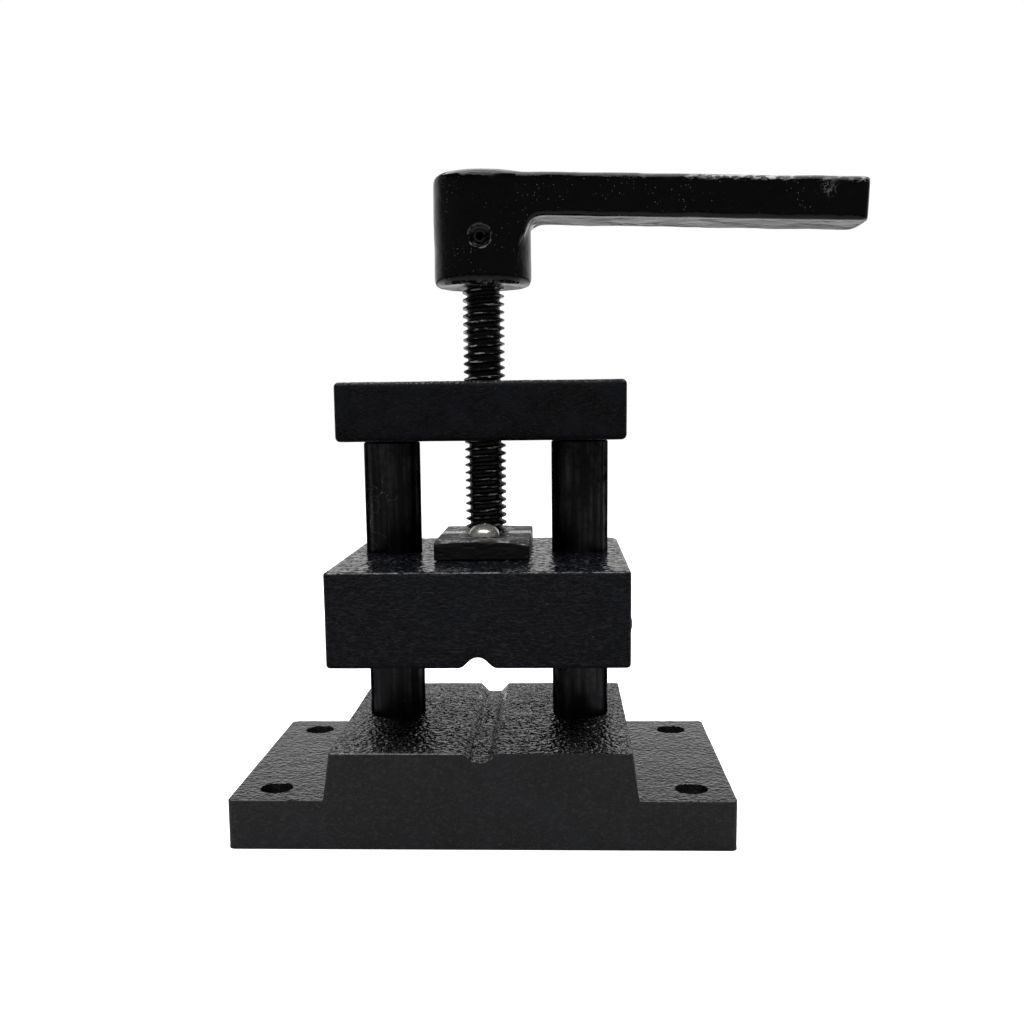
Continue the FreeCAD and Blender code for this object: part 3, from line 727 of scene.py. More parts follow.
class Blank:
    """A workpiece in millimetres that bmesh operators shape."""

    def __init__(self) -> None:
        """Start with nothing."""
        self.bm = bmesh.new()

    @classmethod
    def prism(cls, outline: list[Point], y_low: float, y_high: float) -> "Blank":
        """Carry an outline in X and Z from one Y to another.

        Args:
            outline: Corners in order.
            y_low: Where it starts.
            y_high: Where it ends.

        Returns:
            The solid workpiece.
        """
        blank = cls()
        corners = [blank.bm.verts.new((x, y_low, z)) for x, z in outline]
        face = blank.bm.faces.new(corners)
        made = bmesh.ops.extrude_face_region(blank.bm, geom=[face], use_keep_orig=True)
        moved = [item for item in made["geom"] if isinstance(item, bmesh.types.BMVert)]
        bmesh.ops.translate(blank.bm, verts=moved, vec=(0.0, y_high - y_low, 0.0))
        bmesh.ops.recalc_face_normals(blank.bm, faces=blank.bm.faces)
        return blank

    @classmethod
    def turned(cls, profile: list[Point], steps: int = 72) -> "Blank":
        """Spin a profile of radius and height about Z.

        Args:
            profile: Points from the low end to the high end.
            steps: Facets round the axis.

        Returns:
            The closed workpiece.
        """
        blank = cls()
        points = [blank.bm.verts.new((radius, 0.0, height)) for radius, height in profile]
        edges = [blank.bm.edges.new(pair) for pair in zip(points, points[1:])]
        bmesh.ops.spin(
            blank.bm, geom=points + edges, cent=(0, 0, 0), axis=(0, 0, 1), dvec=(0, 0, 0),
            angle=math.tau, steps=steps, use_merge=True,
        )
        bmesh.ops.remove_doubles(blank.bm, verts=blank.bm.verts, dist=1e-4)
        bmesh.ops.recalc_face_normals(blank.bm, faces=blank.bm.faces)
        return blank

    def move(self, x: float, y: float, z: float = 0.0) -> "Blank":
        """Shift the workpiece."""
        bmesh.ops.translate(self.bm, verts=self.bm.verts, vec=(x, y, z))
        return self

    def turn(self, degrees: float, axis: str, about: Vector = Vector((0, 0, 0))) -> "Blank":
        """Rotate the workpiece about an axis through a point."""
        spin = Matrix.Rotation(math.radians(degrees), 3, axis)
        bmesh.ops.rotate(self.bm, cent=about, matrix=spin, verts=self.bm.verts)
        return self

    def join(self, other: "Blank") -> "Blank":
        """Take in another workpiece's faces."""
        scratch = bpy.data.meshes.new("scratch")
        other.bm.to_mesh(scratch)
        self.bm.from_mesh(scratch)
        bpy.data.meshes.remove(scratch)
        return self

    def round_edges(self, radius: float, segments: int, wanted: object = None) -> "Blank":
        """Round the edges that a test picks, or every sharp one.

        Args:
            radius: Width of the rounding.
            segments: Faces across it.
            wanted: Test of an edge, or None.

        Returns:
            The workpiece.
        """
        sharp = math.radians(SHARP_FROM)
        edges = [edge for edge in self.bm.edges if edge.calc_face_angle(0.0) > sharp]
        picked = [edge for edge in edges if wanted is None or wanted(edge)]
        bmesh.ops.bevel(
            self.bm, geom=picked, offset=radius, offset_type="OFFSET", segments=segments,
            profile=0.5, affect="EDGES", clamp_overlap=True, material=-1,
        )
        return self

    def dice(self, pitch: float, axes: tuple = (0, 1, 2), wanted: object = None) -> "Blank":
        """Slice faces into cells of about one pitch.

        Args:
            pitch: Size of a cell.
            axes: Axes to slice along, 0 for X to 2 for Z.
            wanted: Test of a face, or None for all of them.

        Returns:
            The workpiece.
        """
        self.bm.normal_update()
        faces = [face for face in self.bm.faces if wanted is None or wanted(face)]
        edges = {edge for face in faces for edge in face.edges}
        verts = {vert for face in faces for vert in face.verts}
        geometry = [*verts, *edges, *faces]
        for axis in axes:
            reach = [vert.co[axis] for vert in verts]
            low, high = min(reach), max(reach)
            count = max(1, round((high - low) / pitch))
            normal = Vector([float(k == axis) for k in range(3)])
            for step in range(1, count):
                place = normal * (low + (high - low) * step / count)
                geometry = bmesh.ops.bisect_plane(
                    self.bm, geom=geometry, dist=1e-5, plane_co=place, plane_no=normal
                )["geom"]
        return self

    def peel(self, depth: float, cell: float, seed: float, calm_below: float = NOWHERE) -> "Blank":
        """Wrinkle the upward faces as thick paint does, and less so under a height."""
        self.bm.normal_update()
        shift = Vector((seed, seed, seed))
        for vert in self.bm.verts:
            if vert.normal.z > UPWARD:
                near = noise.voronoi(vert.co / cell + shift + 0.35 * noise.noise_vector(vert.co / cell))[0][0]
                share = 0.4 if vert.co.z < calm_below else 1.0
                vert.co.z -= share * depth * min(1.0, 1.3 * near)
        return self

    def wander(self, reach: float, fade: float, amount: float, low: float, high: float) -> "Blank":
        """Make a groove's two edges stray from side to side along Y, as in a worn mould.

        Args:
            reach: Distance from X = 0 within which everything moves.
            fade: Further distance over which the movement dies out.
            amount: Most that a point moves.
            low: Height where it starts.
            high: Height where it ends.

        Returns:
            The workpiece.
        """
        for vert in self.bm.verts:
            if abs(vert.co.x) < reach + fade and low < vert.co.z < high:
                share = min(1.0, (reach + fade - abs(vert.co.x)) / fade)
                hand = math.copysign(7.0, vert.co.x)
                broad = noise.noise(Vector((vert.co.y / 9.0, hand, 0.0)))
                tight = noise.noise(Vector((vert.co.y / 3.0, hand, 5.0)))
                vert.co.x += amount * share * (broad + 0.5 * tight)
        return self

    def cast_skin(self, depth: float, wave: float, seed: float, floor: float = NOWHERE) -> "Blank":
        """Sink the surface unevenly by up to a depth, as a sand mould leaves it.

        Args:
            depth: Most that a point goes in.
            wave: Length of the unevenness.
            seed: Offset of the pattern.
            floor: Height at and under which nothing moves.

        Returns:
            The workpiece.
        """
        self.bm.normal_update()
        shift = Vector((seed, -seed, 0.5 * seed))
        for vert in self.bm.verts:
            if vert.co.z <= floor:
                continue
            coarse = noise.noise(vert.co / wave + shift)
            fine = noise.noise(vert.co * 3.1 / wave - shift)
            vert.co -= vert.normal * depth * (0.5 + 0.36 * coarse + 0.14 * fine)
        return self

    def swell(self, centre: Vector, radius: float, height: float) -> "Blank":
        """Raise a small soft bump, such as a paint run."""
        self.bm.normal_update()
        for vert in self.bm.verts:
            away = (vert.co - centre).length / radius
            if away < 2.5:
                vert.co += vert.normal * height * math.exp(-away * away)
        return self

    def loose_object(self, name: str) -> Object:
        """Make an object of the workpiece, in metres."""
        bmesh.ops.scale(self.bm, vec=(MM, MM, MM), verts=self.bm.verts)
        mesh = bpy.data.meshes.new(name)
        self.bm.to_mesh(mesh)
        self.bm.free()
        made = bpy.data.objects.new(name, mesh)
        bpy.context.scene.collection.objects.link(made)
        return made


def solid_profile(points: list[Point]) -> list[Point]:
    """Profile of radius and height, closed onto the axis at both ends."""
    return [(0.0, points[0][1]), *points, (0.0, points[-1][1])]


def shaft(radius: float, low: float, high: float) -> list[Point]:
    """Profile of a plain round bar from one height to another."""
    return solid_profile([(radius, low), (radius, high)])


def rectangle(low: Vector, high: Vector) -> list[Point]:
    """Front view of a box."""
    return [(low.x, low.z), (high.x, low.z), (high.x, high.z), (low.x, high.z)]


def mirrored(right: list[Point]) -> list[Point]:
    """Outline whose left half mirrors the right half."""
    return right + [(-x, z) for x, z in reversed(right)]


def rise(edge: Edge) -> float:
    """Height between an edge's ends."""
    return abs(edge.verts[0].co.z - edge.verts[1].co.z)


def faces_up(face: Face) -> bool:
    """Whether a face looks straight up."""
    return face.normal.z > LEVEL


def freeze(piece: Object) -> None:
    """Apply a piece's modifiers to its mesh."""
    bpy.context.view_layer.update()
    depsgraph = bpy.context.evaluated_depsgraph_get()
    result = bpy.data.meshes.new_from_object(piece.evaluated_get(depsgraph))
    old = piece.data
    piece.modifiers.clear()
    piece.data = result
    result.name = piece.name
    bpy.data.meshes.remove(old)


def combine(piece: Object, tool: Object, operation: str) -> None:
    """Cut a piece with a tool, or join the tool to it, and drop the tool.

    Args:
        piece: The object that changes.
        tool: The other solid.
        operation: A Boolean modifier's operation.
    """
    step = piece.modifiers.new("combine", "BOOLEAN")
    step.operation = operation
    step.solver = "EXACT"
    step.object = tool
    freeze(piece)
    mesh = tool.data
    bpy.data.objects.remove(tool)
    bpy.data.meshes.remove(mesh)


def clear_slivers(mesh: Mesh) -> None:
    """Clear what a Boolean leaves: points almost together, and points that only two edges share.

    Two large faces that share a point with no third edge would each cut off the same corner
    when they are split into triangles, which leaves a sliver of no thickness.

    Args:
        mesh: The finished mesh of a piece.
    """
    shell = bmesh.new()
    shell.from_mesh(mesh)
    bmesh.ops.remove_doubles(shell, verts=shell.verts, dist=WELD)
    for _ in range(WELD_ROUNDS):
        spare = [vert for vert in shell.verts if len(vert.link_edges) == 2]
        if not spare:
            break
        for vert in spare:
            if vert.is_valid and len(vert.link_edges) == 2:
                bmesh.utils.vert_collapse_edge(vert, vert.link_edges[0])
    bmesh.ops.dissolve_degenerate(shell, edges=shell.edges, dist=WELD)
    bmesh.ops.delete(shell, geom=[edge for edge in shell.edges if not edge.link_faces], context="EDGES")
    bmesh.ops.delete(shell, geom=[vert for vert in shell.verts if not vert.link_edges], context="VERTS")
    open_edges = sum(1 for edge in shell.edges if len(edge.link_faces) != 2)
    LOG.info("%s: %d edges without two faces", mesh.name, open_edges)
    shell.to_mesh(mesh)
    shell.free()
    mesh.update()


def dress(
    piece: Object, material: Material, body: str, node: str, angle: float = 32.0
) -> None:
    """Give a rebuilt piece its shading, finish and body, and hide the CAD node that it stands for.

    Args:
        piece: The finished object.
        material: Its finish.
        body: The body that it rides on.
        node: The CAD node that it stands for.
        angle: Angle in degrees past which an edge stays sharp.
    """
    mesh = piece.data
    clear_slivers(mesh)
    mesh.materials.clear()
    mesh.materials.append(material)
    mesh.polygons.foreach_set("use_smooth", [True] * len(mesh.polygons))
    mesh.polygons.foreach_set("material_index", [0] * len(mesh.polygons))
    mesh.set_sharp_from_angle(angle=math.radians(angle))
    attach(piece, body)
    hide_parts(node)
    LOG.info("%s: %d faces on body %s", piece.name, len(mesh.polygons), body)


def finish_node(frame: dict, node: str, material: Material) -> None:
    """Give a CAD node that keeps its shape a finish."""
    for slot in frame["nodes"][node].material_slots:
        slot.link = "OBJECT"
        slot.material = material
    LOG.info("%s keeps its CAD shape", node)


def extent(node: str) -> tuple[Vector, Vector]:
    """Lowest and highest corner of a CAD node, in millimetres."""
    low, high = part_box(node)
    return low / MM, high / MM


# ------------------------------------------------------------------------ sub-assemblies


@dataclass
class Layout:
    """Places that the pieces share, read from the frame, in millimetres."""

    axis_y: float = 0.0
    column_x: float = 0.0
    column_radius: float = 0.0
    thread_radius: float = 8.0
    base: tuple = ()
    jaw: tuple = ()
    bridge: tuple = ()
    lever: tuple = ()
    plates: dict = field(default_factory=dict)
    screws: dict = field(default_factory=dict)

    @classmethod
    def read(cls) -> "Layout":
        """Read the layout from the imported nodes."""
        left = extent("guide_column_left")
        right = extent("guide_column_right")
        layout = cls(
            axis_y=(left[0].y + left[1].y) / 2.0,
            column_x=(right[0].x + right[1].x) / 2.0,
            column_radius=(right[1].x - right[0].x) / 2.0,
            base=extent("base_casting"),
            jaw=extent("moving_jaw"),
            bridge=extent("top_bridge"),
            lever=extent("lever_handle"),
        )
        for end in End:
            key = end.name.lower()
            layout.plates[end] = extent(f"retainer_plate_{key}")
            layout.screws[end] = extent(f"retainer_screw_{key}")
        return layout

    def screw_y(self, end: End) -> float:
        """Where a small screw's axis is, front to back."""
        low, high = self.screws[end]
        return (low.y + high.y) / 2.0


@dataclass
class Part:
    """A piece of the vise that is rebuilt as a finer mesh."""

    layout: Layout

    def build(self, material: Material) -> Object:
        """Make the piece, give it its finish and body, and hide its CAD node.

        Args:
            material: Its finish.

        Returns:
            The finished object.
        """
        raise NotImplementedError


@dataclass
class Base(Part):
    """Base casting: anvil block on a flange with two bolt-down ears."""

    ear_height: float = 18.5
    block_width: float = 109.0
    draft: float = 2.25
    groove_width: float = 12.0
    groove_floor: float = 5.0
    groove_depth: float = 3.6
    hole_radius: float = 6.0
    hole_side_inset: float = 15.0
    hole_end_inset: float = 14.5
    hole_flare: float = 0.35
    corner_radius: float = 2.2
    edge_radius: float = 1.0
    socket_depth: float = 12.0
    socket_gap: float = 0.04
    recess_depth: float = 12.5
    recess_radius: float = 9.05
    bolt_hole_radius: float = 5.4
    cell: float = 1.8
    top_cell: float = 0.75
    skin_depth: float = 0.2
    peel_depth: float = 0.26
    peel_cell: float = 2.1

    def outline(self) -> list[Point]:
        """Front view of the casting."""
        low, high = self.layout.base
        top = high.z
        half = (high.x - low.x) / 2.0
        block = self.block_width / 2.0
        foot = block + self.draft
        mouth = self.groove_width / 2.0
        floor = self.groove_floor / 2.0
        right = [
            (half, 0.0), (half, self.ear_height), (foot, self.ear_height), (block, top),
            (mouth, top), (floor, top - self.groove_depth),
        ]
        return mirrored(right)

    def cutters(self) -> Blank:
        """Ear holes, and the stepped bores that take the columns and their bolts."""
        high = self.layout.base[1]
        mouth = self.hole_radius + self.hole_flare
        ear = solid_profile([
            (self.hole_radius, -OVERCUT), (self.hole_radius, self.ear_height - self.hole_flare),
            (mouth, self.ear_height), (mouth, high.z),
        ])
        socket = high.z - self.socket_depth
        column = self.layout.column_radius + self.socket_gap
        bore = solid_profile([
            (self.recess_radius, -OVERCUT), (self.recess_radius, self.recess_depth),
            (self.bolt_hole_radius, self.recess_depth), (self.bolt_hole_radius, socket),
            (column, socket), (column, high.z + OVERCUT),
        ])
        tool = Blank()
        hole_x = high.x - self.hole_side_inset
        hole_y = high.y - self.hole_end_inset
        for side in Side:
            for end in End:
                tool.join(Blank.turned(ear, steps=48).move(side.value * hole_x, end.value * hole_y))
            tool.join(Blank.turned(bore).move(side.value * self.layout.column_x, self.layout.axis_y))
        return tool

    def build(self, material: Material) -> Object:
        """Make the casting."""
        low, high = self.layout.base
        blank = Blank.prism(self.outline(), low.y, high.y)

        def upright(edge: Edge) -> bool:
            run = abs(edge.verts[0].co.y - edge.verts[1].co.y)
            return rise(edge) > 5.0 and run < TOUCH

        blank.round_edges(self.corner_radius, 5, upright)
        blank.round_edges(self.edge_radius, 3)
        blank.dice(self.cell).dice(self.top_cell, (0, 1), faces_up)
        under_groove = high.z - 1.6 * self.groove_depth
        blank.wander(reach=7.5, fade=3.0, amount=0.55, low=under_groove, high=high.z + 1.0)
        blank.cast_skin(self.skin_depth, wave=14.0, seed=3.7, floor=0.6)
        blank.peel(self.peel_depth, self.peel_cell, seed=1.3, calm_below=self.ear_height + 1.0)
        piece = blank.loose_object("base_body")
        combine(piece, self.cutters().loose_object("base_tool"), "DIFFERENCE")
        dress(piece, material, "frame", "base_casting")
        return piece


@dataclass
class Jaw(Part):
    """Moving jaw with its notch, column bores and screw pocket."""

    groove_width: float = 11.4
    groove_floor: float = 3.2
    groove_depth: float = 3.8
    front_corner: float = 2.0
    rear_corner: float = 8.0
    edge_radius: float = 1.3
    bore_gap: float = 0.1
    pocket_radius: float = 10.3
    pocket_depth: float = 11.3
    tapped_radius: float = 3.05
    tapped_depth: float = 14.0
    cell: float = 1.6
    top_cell: float = 0.75
    skin_depth: float = 0.2
    peel_depth: float = 0.18
    peel_cell: float = 2.3

    def outline(self) -> list[Point]:
        """Front view of the jaw."""
        low, high = self.layout.jaw
        half = (high.x - low.x) / 2.0
        right = [
            (self.groove_floor / 2.0, low.z + self.groove_depth), (self.groove_width / 2.0, low.z),
            (half, low.z), (half, high.z),
        ]
        return mirrored(right)

    def cutters(self) -> Blank:
        """Column bores, screw pocket and the two tapped holes."""
        low, high = self.layout.jaw
        top = high.z + OVERCUT
        bore = shaft(self.layout.column_radius + self.bore_gap, low.z - OVERCUT, top)
        pocket = shaft(self.pocket_radius, high.z - self.pocket_depth, top)
        tapped = shaft(self.tapped_radius, high.z - self.tapped_depth, top)
        tool = Blank.turned(pocket).move(0.0, self.layout.axis_y)
        for side in Side:
            tool.join(Blank.turned(bore).move(side.value * self.layout.column_x, self.layout.axis_y))
        for end in End:
            tool.join(Blank.turned(tapped, steps=32).move(0.0, self.layout.screw_y(end)))
        return tool

    def build(self, material: Material) -> Object:
        """Make the jaw."""
        low, high = self.layout.jaw
        blank = Blank.prism(self.outline(), low.y, high.y)

        def corner(y: float) -> object:
            def test(edge: Edge) -> bool:
                tall = rise(edge) > (high.z - low.z) / 2.0
                return tall and abs(edge.verts[0].co.y - y) < TOUCH

            return test

        blank.round_edges(self.rear_corner, 10, corner(high.y))
        blank.round_edges(self.front_corner, 5, corner(low.y))
        blank.round_edges(self.edge_radius, 3)
        blank.dice(self.cell).dice(self.top_cell, (0, 1), faces_up)
        blank.cast_skin(self.skin_depth, wave=12.0, seed=9.1).peel(self.peel_depth, self.peel_cell, seed=6.1)
        blank.swell(Vector((high.x, low.y + 4.0, low.z + 15.5)), radius=1.5, height=0.9)
        piece = blank.loose_object("jaw_body")
        combine(piece, self.cutters().loose_object("jaw_tool"), "DIFFERENCE")
        dress(piece, material, "jaw", "moving_jaw")
        return piece


@dataclass
class Bridge(Part):
    """Top bridge with the tapped centre and the two bolt recesses."""

    edge_radius: float = 1.9
    recess_radius: float = 9.05
    recess_depth: float = 12.5
    bolt_hole_radius: float = 5.4
    thread_gap: float = 0.22
    cell: float = 1.6
    top_cell: float = 0.8
    skin_depth: float = 0.2
    peel_depth: float = 0.08
    peel_cell: float = 1.8

    def cutters(self) -> Blank:
        """The bolt recesses and the clearance round the screw."""
        low, high = self.layout.bridge
        under, over = low.z - OVERCUT, high.z + OVERCUT
        floor = high.z - self.recess_depth
        bolt = solid_profile([
            (self.bolt_hole_radius, under), (self.bolt_hole_radius, floor),
            (self.recess_radius, floor), (self.recess_radius, over),
        ])
        centre = shaft(self.layout.thread_radius + self.thread_gap, under, over)
        tool = Blank.turned(centre).move(0.0, self.layout.axis_y)
        for side in Side:
            tool.join(Blank.turned(bolt).move(side.value * self.layout.column_x, self.layout.axis_y))
        return tool

    def build(self, material: Material) -> Object:
        """Make the bridge."""
        low, high = self.layout.bridge
        blank = Blank.prism(rectangle(low, high), low.y, high.y)
        blank.round_edges(self.edge_radius, 4).dice(self.cell).dice(self.top_cell, (0, 1), faces_up)
        blank.cast_skin(self.skin_depth, wave=11.0, seed=5.3).peel(self.peel_depth, self.peel_cell, seed=2.9)
        piece = blank.loose_object("bridge_body")
        combine(piece, self.cutters().loose_object("bridge_tool"), "DIFFERENCE")
        dress(piece, material, "frame", "top_bridge")
        return piece


@dataclass
class HalfPlate(Part):
    """One sheared half plate round the screw's neck."""

    end: End
    neck_radius: float = 6.25
    sink_radius: float = 9.2
    hole_radius: float = 3.4
    edge_radius: float = 0.45
    bow: float = 1.5
    bow_reach: float = 5.0
    cell: float = 0.8
    skin_depth: float = 0.08

    def sag(self, blank: Blank) -> None:
        """Bow the outer top edge, which the shear dragged down at its ends."""
        low, high = self.layout.plates[self.end]
        outer = low.y if self.end is End.FRONT else high.y
        half = (high.x - low.x) / 2.0
        for vert in blank.bm.verts:
            near = max(0.0, 1.0 - abs(vert.co.y - outer) / self.bow_reach)
            lift = (vert.co.z - low.z) / (high.z - low.z)
            lean = 0.5 + 0.5 * vert.co.x / half
            vert.co.z -= self.bow * near * near * lift * (vert.co.x / half) ** 2 * (0.55 + 0.6 * lean)

    def build(self, material: Material) -> Object:
        """Make the half plate."""
        low, high = self.layout.plates[self.end]
        blank = Blank.prism(rectangle(low, high), low.y, high.y)
        blank.round_edges(self.edge_radius, 2).dice(self.cell)
        self.sag(blank)
        blank.cast_skin(self.skin_depth, wave=5.0, seed=2.0 + self.end.value, floor=low.z + 0.05)
        under, over = low.z - OVERCUT, high.z + OVERCUT
        sink_start = high.z - (self.sink_radius - self.neck_radius)
        neck = solid_profile([
            (self.neck_radius, under), (self.neck_radius, sink_start),
            (self.sink_radius, high.z), (self.sink_radius, over),
        ])
        hole = shaft(self.hole_radius, under, over)
        tool = Blank.turned(neck).move(0.0, self.layout.axis_y)
        tool.join(Blank.turned(hole, steps=40).move(0.0, self.layout.screw_y(self.end)))
        key = self.end.name.lower()
        piece = blank.loose_object(f"half_plate_{key}")
        combine(piece, tool.loose_object("plate_tool"), "DIFFERENCE")
        dress(piece, material, "jaw", f"retainer_plate_{key}")
        return piece


@dataclass
class PanScrew(Part):
    """Bright pan-head screw with a cross recess."""

    end: End
    head_height: float = 4.8
    crown_share: float = 0.86
    thread_radius: float = 3.0
    recess_span: float = 4.6
    recess_width: float = 1.1
    recess_depth: float = 1.9
    thread_pitch: float = 1.0
    thread_depth: float = 0.45
    recess_turn: float = 20.0
    tip_chamfer: float = 0.8
    head_chamfer: float = 0.2
    crown_steps: int = 12

    def profile(self, seat: float, low: float, radius: float) -> list[Point]:
        """Half section of the screw, tip to crown.

        Args:
            seat: Height of the underside of the head.
            low: Height of the tip.
            radius: Radius of the head.

        Returns:
            Points of radius and height.
        """
        points = [(0.0, low), (self.thread_radius - self.tip_chamfer, low)]
        height = low + self.tip_chamfer
        root = self.thread_radius - self.thread_depth
        while height < seat - 2.0 * self.thread_pitch:
            points += [(self.thread_radius, height), (root, height + self.thread_pitch / 2.0)]
            height += self.thread_pitch
        points += [(self.thread_radius, height), (self.thread_radius, seat)]
        points += [(radius - self.head_chamfer, seat), (radius, seat + self.head_chamfer)]
        crown = self.head_height * self.crown_share
        side = seat + self.head_height - crown
        for step in range(self.crown_steps + 1):
            angle = math.pi / 2.0 * step / self.crown_steps
            reach = radius * math.cos(angle) if step < self.crown_steps else 0.0
            points.append((reach, side + crown * math.sin(angle)))
        return points

    def build(self, material: Material) -> Object:
        """Make the screw."""
        low, high = self.layout.screws[self.end]
        seat = self.layout.plates[self.end][1].z
        y = self.layout.screw_y(self.end)
        section = self.profile(seat, low.z, (high.x - low.x) / 2.0)
        blank = Blank.turned(section, steps=64).move(0.0, y)
        top = seat + self.head_height
        half = self.recess_width / 2.0
        wing = [
            (-half, top - self.recess_depth), (half, top - self.recess_depth),
            (self.recess_span / 2.0, top + 1.0), (-self.recess_span / 2.0, top + 1.0),
        ]
        key = self.end.name.lower()
        piece = blank.loose_object(f"pan_screw_{key}")
        for quarter in (0.0, 90.0):
            tool = Blank.prism(wing, y - half, y + half)
            tool.turn(self.recess_turn + quarter, "Z", Vector((0.0, y, 0.0)))
            combine(piece, tool.loose_object("recess_tool"), "DIFFERENCE")
        dress(piece, material, "jaw", f"retainer_screw_{key}", 40.0)
        return piece


@dataclass
class Lever(Part):
    """Cast lever under thick enamel: upright hub, flat drooping arm, soft blend."""

    hub_radius: float = 18.8
    hub_height: float = 41.9
    arm_width: float = 26.5
    arm_thickness: float = 16.4
    arm_reach: float = 144.0
    under_blend: float = 6.0
    droop: float = 1.9
    voxel: float = 0.75
    blend_steps: int = 14
    lump_depth: float = 0.5
    bore_radius: float = 6.34
    bore_top_margin: float = 4.0
    pin_height: float = 17.4
    pin_radius: float = 2.52
    spotface_radius: float = 4.9
    rim_radius: float = 2.4
    tip_radius: float = 4.0
    under_radius: float = 4.2
    top_radius: float = 2.0
    bend_steps: int = 6
    chip_glint_inset: float = 12.6
    chip_glint_height: float = 40.6

    def rough_shape(self) -> Object:
        """Hub, arm and the fillet under the arm, joined and not yet blended."""
        low, _ = self.layout.lever
        foot = low.z
        top = foot + self.hub_height
        axis_y = self.layout.axis_y
        rim = self.rim_radius
        full = self.hub_radius
        hub_profile = solid_profile([
            (full - rim, foot), (full - 0.7, foot + 0.7), (full, foot + rim),
            (full, top - 1.1 * rim), (full - 0.8, top - 0.8), (full - 1.1 * rim, top),
        ])
        hub = Blank.turned(hub_profile, steps=96).move(0.0, axis_y)
        under = top - self.arm_thickness
        half = self.arm_width / 2.0
        flank = math.sqrt(full**2 - half**2) - 0.3
        blend = self.under_blend
        turns = [math.pi / 2.0 * step / self.bend_steps for step in range(self.bend_steps + 1)]
        bend = [
            (full - 1.0 + blend * (1.0 - math.cos(turn)), under - blend * (1.0 - math.sin(turn)))
            for turn in turns
        ]
        arm_outline = [(0.0, under - 2.2 * blend), (flank, under - 2.2 * blend), *bend]
        arm_outline += [(self.arm_reach, under), (self.arm_reach, top), (0.0, top)]
        arm = Blank.prism(arm_outline, axis_y - half, axis_y + half)

        def tip(edge: Edge) -> bool:
            return all(vert.co.x > self.arm_reach - 0.1 for vert in edge.verts) and rise(edge) > 1.0

        def outer(edge: Edge) -> bool:
            return max(vert.co.x for vert in edge.verts) > full + blend

        def lower(edge: Edge) -> bool:
            return outer(edge) and max(vert.co.z for vert in edge.verts) < under + TOUCH

        arm.round_edges(self.tip_radius, 5, tip)
        arm.round_edges(self.under_radius, 5, lower)
        arm.round_edges(self.top_radius, 4, outer)
        arm.turn(self.droop, "Y", Vector((0.0, axis_y, top)))
        piece = hub.loose_object("lever_body")
        combine(piece, arm.loose_object("lever_arm"), "UNION")
        return piece

    def soften(self, piece: Object) -> None:
        """Remesh the joined solids, run the enamel into the corners and add lumps."""
        remesh = piece.modifiers.new("remesh", "REMESH")
        remesh.mode = "VOXEL"
        remesh.voxel_size = self.voxel * MM
        freeze(piece)
        bm = bmesh.new()
        bm.from_mesh(piece.data)
        for _ in range(self.blend_steps):
            bmesh.ops.smooth_vert(
                bm, verts=bm.verts, factor=0.5, use_axis_x=True, use_axis_y=True, use_axis_z=True
            )
        bm.normal_update()
        for vert in bm.verts:
            place = vert.co / MM
            wide = noise.noise(place / 15.0)
            small = noise.noise(place / 6.0 + Vector((4.0, 1.0, 7.0)))
            vert.co -= vert.normal * self.lump_depth * MM * (0.45 + 0.4 * wide + 0.15 * small)
        bm.to_mesh(piece.data)
        bm.free()

    def cutters(self) -> Blank:
        """Bore for the screw's plain end, and the cross hole with its spotfaces."""
        low, _ = self.layout.lever
        bore_top = low.z + self.hub_height - self.bore_top_margin
        bore = shaft(self.bore_radius, low.z - OVERCUT, bore_top)
        reach = self.hub_radius
        waist = reach - (self.spotface_radius - self.pin_radius)
        half = [
            (self.pin_radius, waist), (self.pin_radius + 1.2, waist + 0.4),
            (self.spotface_radius, reach), (self.spotface_radius + 0.5, reach + OVERCUT),
        ]
        cross = solid_profile([(radius, -height) for radius, height in reversed(half)] + half)
        tool = Blank.turned(cross, steps=48).turn(90.0, "X")
        tool.move(0.0, self.layout.axis_y, low.z + self.pin_height)
        return tool.join(Blank.turned(bore).move(0.0, self.layout.axis_y))

    def build(self, material: Material) -> Object:
        """Make the lever."""
        piece = self.rough_shape()
        self.soften(piece)
        combine(piece, self.cutters().loose_object("lever_tool"), "DIFFERENCE")
        dress(piece, material, "screw", "lever_handle", 50.0)
        return piece


# ------------------------------------------------------------------------------ studio


